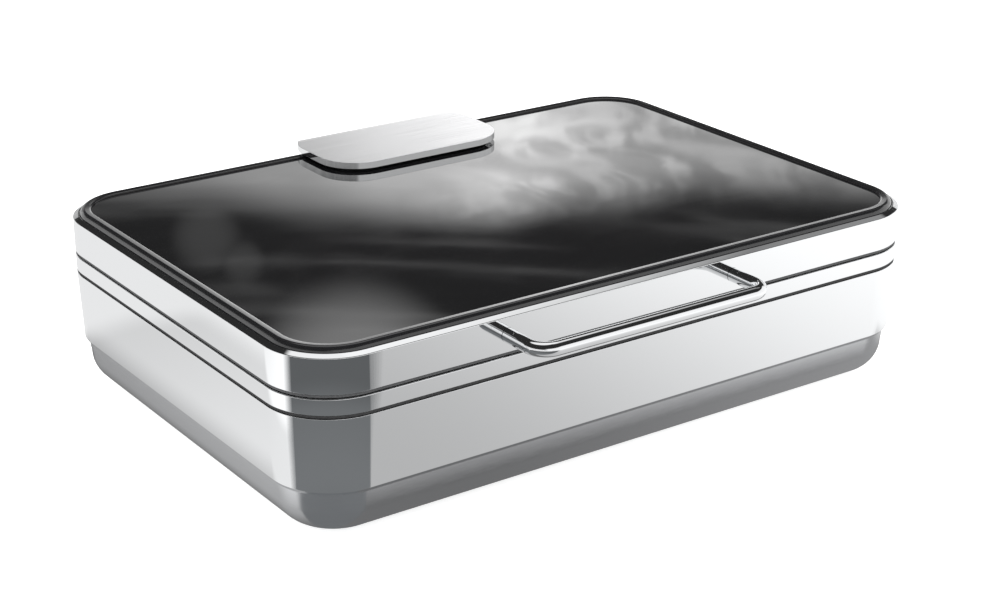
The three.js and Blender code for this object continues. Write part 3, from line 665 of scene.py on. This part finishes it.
def build_handle():
    low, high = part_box("lid_handle")
    radius = (high.z - low.z) / 2
    bend = 15 * MM
    left, right = low.x + radius, high.x - radius
    bar_y = low.y + radius
    z = (low.z + high.z) / 2
    points = [Vector((right, high.y, z)), Vector((right, high.y - 1 * MM, z))]
    turns = smooth_turn(12)
    for end, inwards, angles in ((right, -1, turns), (left, 1, reversed(turns))):
        for angle in angles:
            x = end + inwards * bend * (1 - math.cos(angle))
            points.append(Vector((x, bar_y + bend * (1 - math.sin(angle)), z)))
    points += [Vector((left, high.y - 1 * MM, z)), Vector((left, high.y, z))]
    piece("lid_handle_bar", tube_along(points, radius, 40), "lid", "mirror_steel", "lid_handle")


# ---------------- hinge


COVER_CORNER = 38 * MM
COVER_BEND = 16 * MM
COVER_INNER_BEND = 10 * MM
COVER_PLATE = 6 * MM
COVER_WALL = 3.4 * MM


def cover_half_width(y):
    """Half the cover's width at a depth: its plan is a rectangle with four round corners."""
    half = (cover_high.x - cover_low.x) / 2
    into_corner = max(cover_low.y + COVER_CORNER - y, y - cover_high.y + COVER_CORNER, 0)
    return half - COVER_CORNER + math.sqrt(max(COVER_CORNER ** 2 - into_corner ** 2, 0))


def cover_rows():
    """Pairs of (y, z) places, outer and inner face, from the front edge back and down to the lower edge."""
    front, back, top = cover_low.y, cover_high.y, cover_high.z
    under = top - COVER_PLATE
    rows = []
    for angle in smooth_turn(16):
        y = front + COVER_CORNER * (1 - math.cos(angle))
        rows.append(((y, top), (y, under)))
    outer_end = back - COVER_BEND
    inner_end = back - COVER_WALL - COVER_INNER_BEND
    start = back - COVER_CORNER
    for step in range(7):
        along = step / 6
        rows.append(((start + (outer_end - start) * along, top), (start + (inner_end - start) * along, under)))
    for angle in smooth_turn(12)[1:]:
        out, down = math.sin(angle), 1 - math.cos(angle)
        outer = (outer_end + COVER_BEND * out, top - COVER_BEND * down)
        rows.append((outer, (inner_end + COVER_INNER_BEND * out, under - COVER_INNER_BEND * down)))
    rows.append(((back, cover_low.z), (back - COVER_WALL, cover_low.z)))
    return rows


def build_hinge_cover():
    """A plate with round corners that bends down over the back of the lid."""
    middle = (cover_high.x + cover_low.x) / 2
    bm = bmesh.new()
    corners = []
    for outer, inner in cover_rows():
        over, under = cover_half_width(outer[0]), cover_half_width(inner[0])
        corners.append([
            bm.verts.new((middle - over, *outer)),
            bm.verts.new((middle + over, *outer)),
            bm.verts.new((middle + under, *inner)),
            bm.verts.new((middle - under, *inner)),
        ])
    for near, far in zip(corners, corners[1:]):
        for side in range(4):
            other = (side + 1) % 4
            face = bm.faces.new((near[side], near[other], far[other], far[side]))
            face.material_index = int(side == 0)
    bm.faces.new(corners[0])
    bm.faces.new(corners[-1])
    steels = [materials["mirror_steel"], materials["plate_steel"]]
    cover = make_object("hinge_cover_plate", bm, steels, weighted=False)
    soften_edges(cover, 0.9 * MM, 4, 50)
    stands_for(cover, "lid", "mirror_steel", "hinge_cover")


def build_hinge():
    """Lid and base leaves with their knuckles, the pin and the two dampers on its ends."""
    middle_x = (pin_low.x + pin_high.x) / 2
    axis = Vector(joints["lid_hinge"]["pos_m"])
    pin_radius = (pin_high.z - pin_low.z) / 2
    knuckle, bore = 7.5 * MM, pin_radius + GAP
    lid_knuckle_end = 34 * MM
    base_knuckles = in_mm((-62, -35), (35, 62))

    low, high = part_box("hinge_lid_bracket")
    leaf_back = low.y + 2.5 * MM
    leaf_low = band_low.z + 2 * MM
    near, far = middle_x - lid_knuckle_end, middle_x + lid_knuckle_end
    bm = bmesh.new()
    add_box(bm, (low.x, low.y, leaf_low), (high.x, leaf_back, high.z), 0.5 * MM)
    add_box(bm, (near, low.y, leaf_low), (far, axis.y - 5 * MM, band_low.z + 5 * MM), 0.4 * MM)
    add_rod_x(bm, near, far, axis, knuckle, bore)
    piece("hinge_lid_half", bm, "lid", "bracket_steel", "hinge_lid_bracket")

    low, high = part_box("hinge_base_bracket")
    leaf_top = 119 * MM
    bm = bmesh.new()
    add_box(bm, (low.x, low.y, low.z), (high.x, leaf_back, leaf_top), 0.5 * MM)
    for near, far in base_knuckles:
        web_low = (middle_x + near, low.y, leaf_top - 3 * MM)
        add_box(bm, web_low, (middle_x + far, axis.y - 4 * MM, leaf_top + 1.5 * MM), 0.4 * MM)
        add_rod_x(bm, middle_x + near, middle_x + far, axis, knuckle, bore)
    piece("hinge_base_half", bm, "base", "bracket_steel", "hinge_base_bracket")

    bm = bmesh.new()
    add_rod_x(bm, pin_low.x, pin_high.x, axis, pin_radius, chamfer=0.8 * MM)
    piece("hinge_pin_rod", bm, "base", "screw_steel", "hinge_pin")

    for side in ("left", "right"):
        low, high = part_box(f"hinge_damper_{side}")
        bm = bmesh.new()
        add_rod_x(bm, low.x, high.x, axis, knuckle, bore, chamfer=0.8 * MM)
        piece(f"hinge_damper_sleeve_{side}", bm, "base", "black_plastic", f"hinge_damper_{side}")

    head = in_mm((0, 1.6), (1.1, 1.6), (1.2, 0.9), (1.3, 1.75), (3.0, 1.1), (3.4, 0.4), (3.4, 0), (0, 0))
    facing_out = Matrix.Rotation(-math.pi / 2, 4, "X")
    for i, x in enumerate((-58, -20, 20, 58)):
        place = Matrix.Translation((middle_x + x * MM, leaf_back, 93 * MM)) @ facing_out
        piece(f"hinge_leaf_screw_{i + 1}", lathe(head, 32), "base", "screw_steel", place=place)


# ---------------- rear controls

KNOB = joints["thermostat_turn"]
WALL_OUT = Vector(KNOB["axis"]) * (1 if KNOB["axis"][1] > 0 else -1)
WALL_RIGHT = Vector((-1, 0, 0))       # to the right for someone who faces the back
WALL_UP = WALL_OUT.cross(WALL_RIGHT)
TURN_AXIS = Vector(KNOB["axis"])
DIAL_STEPS = 6


def wall_matrix(place, right=WALL_RIGHT, up=WALL_UP):
    """A frame on the rear wall: X to the viewer's right, Y up, Z straight out."""
    matrix = Matrix.Identity(4)
    for column, axis in enumerate((right, up, right.cross(up))):
        for row in range(3):
            matrix[row][column] = axis[row]
    matrix.translation = place
    return matrix


def control_face():
    """A point on the control plate's outer face."""
    verts = frame["nodes"]["control_plate"].data.vertices
    return max((vert.co for vert in verts), key=lambda co: co.dot(WALL_OUT)).copy()


def on_wall(x_from_knob):
    """A point on the control plate at a distance to the viewer's right of the knob's axis."""
    knob = Vector(KNOB["pos_m"])
    height = (knob - control_face()).dot(WALL_OUT)
    return knob - WALL_OUT * height + WALL_RIGHT * x_from_knob


def write_mark(name, body, text, size, place, material):
    """Generic lettering, as thin raised print that faces out of the rear wall."""
    font = bpy.data.curves.new(name, "FONT")
    font.body = text
    font.size = size
    font.align_x = "CENTER"
    font.align_y = "CENTER"
    font.extrude = 0.04 * MM
    font.resolution_u = 4
    holder = bpy.data.objects.new(name, font)
    scene.collection.objects.link(holder)
    bpy.context.view_layer.update()
    mesh = bpy.data.meshes.new_from_object(holder)
    bpy.data.objects.remove(holder)
    mesh.materials.clear()
    mesh.materials.append(materials[material])
    mesh.name = name
    mesh.transform(place)
    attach(place_mesh(name, mesh), body)


def build_knob():
    place = wall_matrix(on_wall(0))
    top = 16.8 * MM
    flutes, flute_depth = 18, 0.55 * MM

    def grip(turn, z):
        if not 4.5 * MM < z < 14.5 * MM:
            return 0
        return flute_depth * max(0.0, math.cos(flutes * turn)) ** 2

    profile = in_mm(
        (0, 1.8), (13.6, 1.8), (14.2, 2.2), (14.4, 3.2), (14.1, 4.2), (13.8, 5), (13.2, 9), (12.7, 13.5),
        (12.4, 15), (12.0, 16.1), (11.2, 16.8), (9, 16.9), (0, 16.9))
    bm = lathe(profile, 144, grip)
    add_box(bm, (-1.6 * MM, 1 * MM, top - 1 * MM), (1.6 * MM, 11.8 * MM, top + 1.9 * MM), 0.5 * MM)
    piece("thermostat_knob_grip", bm, "knob", "black_plastic", "thermostat_knob", place=place, sharp_deg=50)

    bm = bmesh.new()
    add_box(bm, (-0.5 * MM, 2 * MM, top + 1.8 * MM), (0.5 * MM, 11.2 * MM, top + 1.96 * MM), 0.05 * MM)
    line = make_object("thermostat_knob_line", bm, [materials["mark_white"]])
    line.data.transform(place)
    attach(line, "knob")


def build_dial():
    """Tick marks and the numbers 0 to 6 round the knob, in the direction that the knob turns."""
    span = math.radians(KNOB["range_deg"][1])
    centre = on_wall(0)
    tick_start, number_reach = 15.4 * MM, 19.4 * MM
    half_width, height = 0.18 * MM, 0.08 * MM
    bm = bmesh.new()
    for step in range(2 * DIAL_STEPS + 1):
        turn = Matrix.Rotation(step / (2 * DIAL_STEPS) * span, 4, TURN_AXIS)
        up = turn @ WALL_UP
        numbered = step % 2 == 0
        tick_end = tick_start + (1.6 * MM if numbered else 0.9 * MM)
        tick = add_box(bm, (-half_width, tick_start, 0), (half_width, tick_end, height))
        bmesh.ops.transform(bm, matrix=wall_matrix(centre, turn @ WALL_RIGHT, up), verts=tick)
        if numbered:
            place = wall_matrix(centre + up * number_reach)
            write_mark(f"dial_number_{step // 2}", "base", str(step // 2), 4 * MM, place, "mark_black")
    ticks = make_object("dial_ticks", bm, [materials["mark_black"]], weighted=False)
    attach(ticks, "base")


def build_lamp():
    low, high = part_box("pilot_lamp")
    centre = on_wall(KNOB["pos_m"][0] - (low.x + high.x) / 2)
    lens = in_mm((0, -3), (4.2, -3), (4.2, 0.3), (6, 0.3), (6, 1.1), (5.6, 1.5), (4.9, 1.6))
    for angle in smooth_turn(8):
        lens.append((4.7 * MM * math.cos(angle), 1.7 * MM + 3.1 * MM * math.sin(angle)))
    piece("pilot_lamp_lens", lathe(lens, 48), "base", "lamp_red", "pilot_lamp", place=wall_matrix(centre))


def build_switch_marks():
    """The usual on and off symbols, moulded white into the rocker's two slopes."""
    centre = Vector(joints["switch_rock"]["pos_m"])
    tilt, slope = math.radians(10), math.radians(9.7)
    rest_up = Matrix.Rotation(-tilt, 3, WALL_RIGHT) @ WALL_UP
    rest_out = WALL_RIGHT.cross(rest_up)
    for name, text, side in (("rocker_on", "I", 1), ("rocker_off", "0", -1)):
        up = Matrix.Rotation(side * slope - tilt, 3, WALL_RIGHT) @ WALL_UP
        place = centre + rest_up * side * 4.4 * MM + rest_out * 4.02 * MM
        write_mark(f"switch_{name}", "rocker", text, 4.4 * MM, wall_matrix(place, WALL_RIGHT, up), "mark_white")


# ---------------- underside


FOOT_PROFILE = in_mm(
    (0, 0.5), (6, 0.5), (7, 0), (11.4, 0), (12.1, 0.2), (12.8, 1.2), (13, 2), (13, 3.3), (12.6, 3.7),
    (2.6, 3.7), (2.6, 5.9), (4, 6.6), (2.2, 9.6), (0, 9.8))
COVER_SCREW_PROFILE = in_mm(
    (0, 1.2), (1.4, 1.2), (1.5, 0.2), (2.6, 0.35), (3.2, 0.9), (3.2, 1.3), (1.5, 1.3), (1.5, 6.4), (0, 6.6))


def build_underside_pieces(name, node, count, profile, segments, slot_name):
    """Turned pieces that stand on the underside, each where its CAD node is."""
    for i in range(1, count + 1):
        low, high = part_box(f"{node}_{i}")
        place = Matrix.Translation(((low.x + high.x) / 2, (low.y + high.y) / 2, low.z))
        piece(f"{name}_{i}", lathe(profile, segments), "base", slot_name, f"{node}_{i}", place=place)


# ---------------- everything

build_shell()
build_collar()
build_pan("water_pan_skin", "water_pan", "base", 15.7 * MM, 22 * MM, 10 * MM, 40 * MM, 0.58)
build_pan("food_pan_skin", "food_pan", "food_pan_body", 12.5 * MM, 22 * MM, 14 * MM, 32 * MM, 0.42)
build_lid()
build_handle()
build_hinge_cover()
build_hinge()
build_knob()
build_dial()
build_lamp()
build_switch_marks()
build_underside_pieces("foot_pad", "foot", 4, FOOT_PROFILE, 48, "rubber_black")
build_underside_pieces("cover_screw_head", "cover_screw", 2, COVER_SCREW_PROFILE, 32, "screw_steel")

for node, width in {
    "control_plate": 0.5, "switch_housing": 0.6, "switch_rocker": 0.5, "power_inlet": 0.6, "bottom_cover": 0.3,
    "thermostat_body": 0.8, "terminal_block": 0.6, "hinge_pad": 0.5, "hinge_clamp_plate": 0.4,
    "heater_plate": 0.4, "heater_clamp_left": 0.4, "heater_clamp_right": 0.4, "insulation_pad": 1.2,
    "hinge_cover_bolt_1": 0.4, "hinge_cover_bolt_2": 0.4,
}.items():
    soften_edges(frame["nodes"][node], width * MM, 2)

# ---------------- camera

CAMERA_AZIMUTH = math.radians(-34.92)
CAMERA_ELEVATION = math.radians(21.67)
CAMERA_DISTANCE = 1.82
CAMERA_TARGET = Vector((-0.0006, -0.0058, 0.0737))


def direction(azimuth, elevation):
    """A unit vector from the middle outwards. Azimuth 0 is the front, and grows towards +X."""
    level = math.cos(elevation)
    return Vector((math.sin(azimuth) * level, -math.cos(azimuth) * level, math.sin(elevation)))


def build_camera():
    data = bpy.data.cameras.new("camera")
    data.sensor_width = 36
    data.lens = 75
    camera = bpy.data.objects.new("camera", data)
    back = direction(CAMERA_AZIMUTH, CAMERA_ELEVATION)
    camera.location = CAMERA_TARGET + back * CAMERA_DISTANCE
    camera.rotation_mode = "QUATERNION"
    camera.rotation_quaternion = (-back).to_track_quat("-Z", "Y")
    scene.collection.objects.link(camera)
    scene.camera = camera
    return camera


camera = build_camera()

# ---------------- studio

scene.view_settings.view_transform = "Standard"


def emission(name, colour=(1, 1, 1)):
    """A glowing material whose strength is still to be fed, with its glow and output nodes."""
    material = bpy.data.materials.new(name)
    material.use_nodes = True
    tree = material.node_tree
    tree.nodes.clear()
    glow = add_node(tree, "ShaderNodeEmission", Color=(*colour, 1))
    output = add_node(tree, "ShaderNodeOutputMaterial", Surface=glow.outputs["Emission"])
    return material, tree, glow, output


def mix_shaders(tree, factor, first, second, output):
    mix = add_node(tree, "ShaderNodeMixShader", Fac=factor)
    tree.links.new(first, mix.inputs[1])
    tree.links.new(second, mix.inputs[2])
    tree.links.new(mix.outputs["Shader"], output.inputs["Surface"])


def flat_card(name, points, material, height, faces=None):
    """A flat stage card just above the floor that shows only in reflections."""
    mesh = bpy.data.meshes.new(name)
    places = [(point[0], point[1], height) for point in points]
    mesh.from_pydata(places, [], faces or [tuple(range(len(places)))])
    mesh.materials.append(material)
    card = place_mesh(name, mesh)
    card.visible_camera = False
    card.visible_diffuse = False
    card.visible_transmission = False
    card.visible_shadow = False
    return card


def build_floor():
    """A plain pale floor, with a glow that keeps its shadow faint, that can be seen through from below."""
    tree, shader = principled("floor_paper", (0.9, 0.9, 0.9), 0.0, 0.9)
    shader.inputs["Emission Color"].default_value = (1, 1, 1, 1)
    shader.inputs["Emission Strength"].default_value = 0.72
    from_below = add_node(tree, "ShaderNodeNewGeometry").outputs["Backfacing"]
    clear = add_node(tree, "ShaderNodeBsdfTransparent").outputs["BSDF"]
    mix_shaders(tree, from_below, shader.outputs["BSDF"], clear, tree.nodes["Material Output"])
    half = 8.0
    mesh = bpy.data.meshes.new("floor")
    corners = [(-half, -half, 0), (half, -half, 0), (half, half, 0), (-half, half, 0)]
    mesh.from_pydata(corners, [], [(0, 1, 2, 3)])
    mesh.materials.append(materials["floor_paper"])
    floor = place_mesh("floor", mesh)
    floor.visible_glossy = False


build_floor()


class Nodes:
    """Short ways to build sums, ramps and blends in a node tree."""

    def __init__(self, tree):
        self.tree = tree

    def math(self, operation, first, second=0.0):
        node = self.tree.nodes.new("ShaderNodeMath")
        node.operation = operation
        feed(self.tree, node.inputs[0], first)
        feed(self.tree, node.inputs[1], second)
        return node.outputs["Value"]

    def product(self, first, *others):
        for other in others:
            first = self.math("MULTIPLY", first, other)
        return first

    def ramp(self, value, low, high, to_low, to_high):
        """A soft step of a value from one level to another."""
        limits = {"From_Min": low, "From_Max": high, "To_Min": to_low, "To_Max": to_high}
        node = add_node(self.tree, "ShaderNodeMapRange", Value=value, **limits)
        node.interpolation_type = "SMOOTHSTEP"
        return node.outputs["Result"]

    def blend(self, factor, first, second):
        return add_node(self.tree, "ShaderNodeMix", Factor=factor, A=first, B=second).outputs["Result"]

    def split(self, vector):
        return add_node(self.tree, "ShaderNodeSeparateXYZ", Vector=vector).outputs

    def noise(self, across, up, distortion):
        place = add_node(self.tree, "ShaderNodeCombineXYZ", X=across, Y=up).outputs["Vector"]
        noise = add_node(
            self.tree, "ShaderNodeTexNoise", Vector=place, Scale=1.0, Detail=4.0, Distortion=distortion)
        return noise.outputs["Fac"]

    def curve(self, value, stops, low, high):
        """A smooth line through (place, level) stops, for a value between low and high."""
        place = self.math("DIVIDE", self.math("SUBTRACT", value, low), high - low)
        node = add_node(self.tree, "ShaderNodeValToRGB", Fac=place)
        ramp = node.color_ramp
        ramp.interpolation = "EASE"
        while len(ramp.elements) < len(stops):
            ramp.elements.new(0.5)
        for element, (at, level) in zip(ramp.elements, stops):
            element.position = (at - low) / (high - low)
            element.color = (level, level, level, 1)
        return node.outputs["Color"]


# Painted shade: how light the card is close to the front wall, darker where the body's shade on the table would
# show in it: (place along Y, share of its full level).
FRONT_PAINTED_SHADE = [(-0.264, 1.0), (-0.25, 0.9), (-0.238, 0.5), (-0.227, 0.3), (-0.205, 0.34)]


def build_table_card():
    """A light card round the object that its walls mirror, with painted shade: it is darker beside the body, where
    the body's shade on the table would be.
    """
    material, tree, glow, _ = emission("table_card")
    nodes = Nodes(tree)
    x, y, _ = nodes.split(add_node(tree, "ShaderNodeNewGeometry").outputs["Position"])
    painted_front_shade = nodes.curve(y, FRONT_PAINTED_SHADE, -0.32, -0.19)
    painted_front_shade = nodes.blend(nodes.ramp(x, 0.33, 0.40, 0.0, 1.0), painted_front_shade, 1.0)
    front = nodes.product(nodes.ramp(x, -0.2, 0.55, 0.48, 1.1), painted_front_shade)
    # Painted shade also darkens the card close to the left wall.
    left = nodes.product(
        nodes.ramp(x, -0.50, -0.455, 0.93, 0.70),
        nodes.ramp(x, -0.37, -0.322, 1.0, 0.48),
        nodes.ramp(y, -0.15, 0.35, 1.22, 0.96))
    on_left = nodes.product(nodes.ramp(y, -0.26, -0.18, 0.0, 1.0), nodes.ramp(x, -0.32, -0.28, 1.0, 0.0))
    behind = nodes.ramp(y, 0.26, 0.32, 0.0, 1.0)
    level = nodes.blend(behind, nodes.blend(on_left, front, left), 0.85)
    feed(tree, glow.inputs["Strength"], level)
    half = 4.0
    corners = [(-half, -half), (half, -half), (half, half), (-half, half)]
    flat_card("table_card", corners, material, 0.5 * MM)


def mirrored_ground(normal_turn):
    """Where a turn of the near corner's wall starts, and which way the camera's view bounces off it."""
    corner = BODY["corner"]
    middle = Vector((-BODY["half_x"] + corner, CENTRE_Y - BODY["half_y"] + corner, 0))
    normal = Vector((-math.cos(normal_turn), -math.sin(normal_turn), 0))
    start = middle + normal * corner
    away = start - Vector((camera.location.x, camera.location.y, 0))
    away.normalize()
    return start, away - normal * (2 * away.dot(normal))


# The dark wedge: (turn of the corner's normal in degrees, darkness), and (distance from the corner, radiance).
CORNER_DARK = [(22, 0.0), (29, 1.0), (89.5, 1.0), (91, 0.0)]
CORNER_GLOW = [(0.02, 0.17), (0.1, 0.19), (0.24, 0.17), (0.33, 0.12)]


def build_corner_card():
    """A dark wedge on the table that the near corner mirrors. It fades out at both sides."""
    material, tree, glow, output = emission("corner_card", (0.93, 0.97, 1.0))
    away = tree.nodes.new("ShaderNodeVectorMath")
    away.operation = "DISTANCE"
    away.inputs[1].default_value = mirrored_ground(math.radians(55))[0]
    feed(tree, away.inputs[0], add_node(tree, "ShaderNodeNewGeometry").outputs["Position"])
    level = Nodes(tree).curve(away.outputs["Value"], CORNER_GLOW, 0.0, 0.4)
    feed(tree, glow.inputs["Strength"], level)
    shade = add_node(tree, "ShaderNodeVertexColor")
    shade.layer_name = "darkness"
    clear = add_node(tree, "ShaderNodeBsdfTransparent").outputs["BSDF"]
    mix_shaders(tree, shade.outputs["Color"], clear, glow.outputs["Emission"], output)

    under, reach, steps = 0.06, 0.9, 8
    points, levels, faces = [], [], []
    for (turn, level), (next_turn, next_level) in zip(CORNER_DARK, CORNER_DARK[1:]):
        for step in range(steps + 1):
            along = step / steps
            start, bounce = mirrored_ground(math.radians(turn + (next_turn - turn) * along))
            points += [start - bounce * under, start + bounce * reach]
            levels += [level + (next_level - level) * along] * 2
            if step:
                last = len(points) - 1
                faces.append((last - 3, last - 2, last, last - 1))
    card = flat_card("corner_card", points, material, 1.0 * MM, faces)
    paint = card.data.color_attributes.new("darkness", "FLOAT_COLOR", "POINT")
    for item, level in zip(paint.data, levels):
        item.color = (level, level, level, 1)


build_table_card()
build_corner_card()

# What mirror-like surfaces see above the table. Degrees: azimuth 0 is the front, 90 the right, 180 the back.
BACK_LIGHT = [(130, 0.5), (139, 0.55), (142, 0.68), (145, 0.95), (148, 0.7), (151, 0.42), (157, 0.24)]
BACK_LIGHT_TOP = [(130, 0.18), (139, 0.22), (142, 0.42), (146, 0.6), (150, 0.52), (154, 0.3), (158, 0.2)]
# Soft round lights: (azimuth, elevation, inner and outer half angle, radiance).
SOFT_LIGHTS = [
    (130, 62, 8, 22, 1.2),
    (165, 72, 17, 22, 1.12),
    (101, 45, 2, 9, 0.3),
    (149.4, 24.1, 0.2, 3.4, 0.7),
    (153.6, 19.7, 0.1, 1.1, 0.11),
    (152.6, 20.4, 0.1, 0.7, 0.1),
]


def back_light(nodes, azimuth, elevation, streaks, swirls):
    """A long low light behind the object, with a ragged upper edge, that lies in the glass as a soft glow."""
    mottle = nodes.ramp(swirls, 0.42, 0.62, 0.68, 1.18)
    level = nodes.product(
        nodes.curve(azimuth, BACK_LIGHT, 130, 160), 2.0,
        nodes.ramp(streaks, 0.3, 0.7, 0.82, 1.15),
        nodes.blend(nodes.ramp(azimuth, 143, 149, 1.0, 0.0), 1.0, mottle),
        nodes.ramp(elevation, 13, 17, 1.15, 1.0))
    top = nodes.product(nodes.curve(azimuth, BACK_LIGHT_TOP, 130, 160), 2.5)
    above = nodes.math("SUBTRACT", nodes.math("SUBTRACT", elevation, 17.7), top)
    ragged = nodes.product(nodes.math("SUBTRACT", streaks, 0.5), 1.2)
    above = nodes.math("ADD", above, ragged)
    return nodes.product(level, nodes.ramp(above, -0.75, 0.75, 1.0, 0.0))


def front_light(nodes, azimuth, elevation):
    """A wide white panel at the front and right, cut off sharply at its top."""
    left_end = nodes.ramp(azimuth, -40, -20, 0.0, 1.0)
    right_end = nodes.ramp(azimuth, 98, 110, 1.0, 0.0)
    return nodes.product(nodes.ramp(elevation, 28, 30, 1.15, 0.0), left_end, right_end)


def soft_light(nodes, towards, light):
    azimuth, elevation, inner, outer, radiance = light
    dot = nodes.tree.nodes.new("ShaderNodeVectorMath")
    dot.operation = "DOT_PRODUCT"
    dot.inputs[1].default_value = direction(math.radians(azimuth), math.radians(elevation))
    feed(nodes.tree, dot.inputs[0], towards)
    edge, full = math.cos(math.radians(outer)), math.cos(math.radians(inner))
    return nodes.ramp(dot.outputs["Value"], edge, full, 0.0, radiance)


def build_surroundings():
    world = bpy.data.worlds.new("studio")
    world.use_nodes = True
    scene.world = world
    tree = world.node_tree
    tree.nodes.clear()
    nodes = Nodes(tree)
    towards = add_node(tree, "ShaderNodeTexCoord").outputs["Generated"]
    x, y, z = nodes.split(towards)
    azimuth = nodes.math("DEGREES", nodes.math("ARCTAN2", x, nodes.product(y, -1.0)))
    elevation = nodes.math("DEGREES", nodes.math("ARCSINE", z))
    slant = nodes.math("ADD", elevation, nodes.product(azimuth, 0.05))
    streaks = nodes.noise(nodes.product(azimuth, 0.12), nodes.product(slant, 2.2), 0.0)
    swirls = nodes.noise(nodes.product(azimuth, 0.35), nodes.product(slant, 1.1), 2.6)

    total = back_light(nodes, azimuth, elevation, streaks, swirls)
    total = nodes.math("MAXIMUM", total, front_light(nodes, azimuth, elevation))
    for light in SOFT_LIGHTS:
        total = nodes.math("MAXIMUM", total, soft_light(nodes, towards, light))
    glints = nodes.ramp(streaks, 0.52, 0.7, 0.0, 0.16)
    low_sky = nodes.product(glints, nodes.ramp(elevation, 22, 30, 1.0, 0.0))
    total = nodes.math("ADD", nodes.math("ADD", total, low_sky), 0.03)

    mirrored = add_node(tree, "ShaderNodeBackground", Strength=total).outputs["Background"]
    plain = add_node(tree, "ShaderNodeBackground", Strength=1.7).outputs["Background"]
    in_mirror = add_node(tree, "ShaderNodeLightPath").outputs["Is Glossy Ray"]
    mix_shaders(tree, in_mirror, plain, mirrored, tree.nodes.new("ShaderNodeOutputWorld"))


build_surroundings()
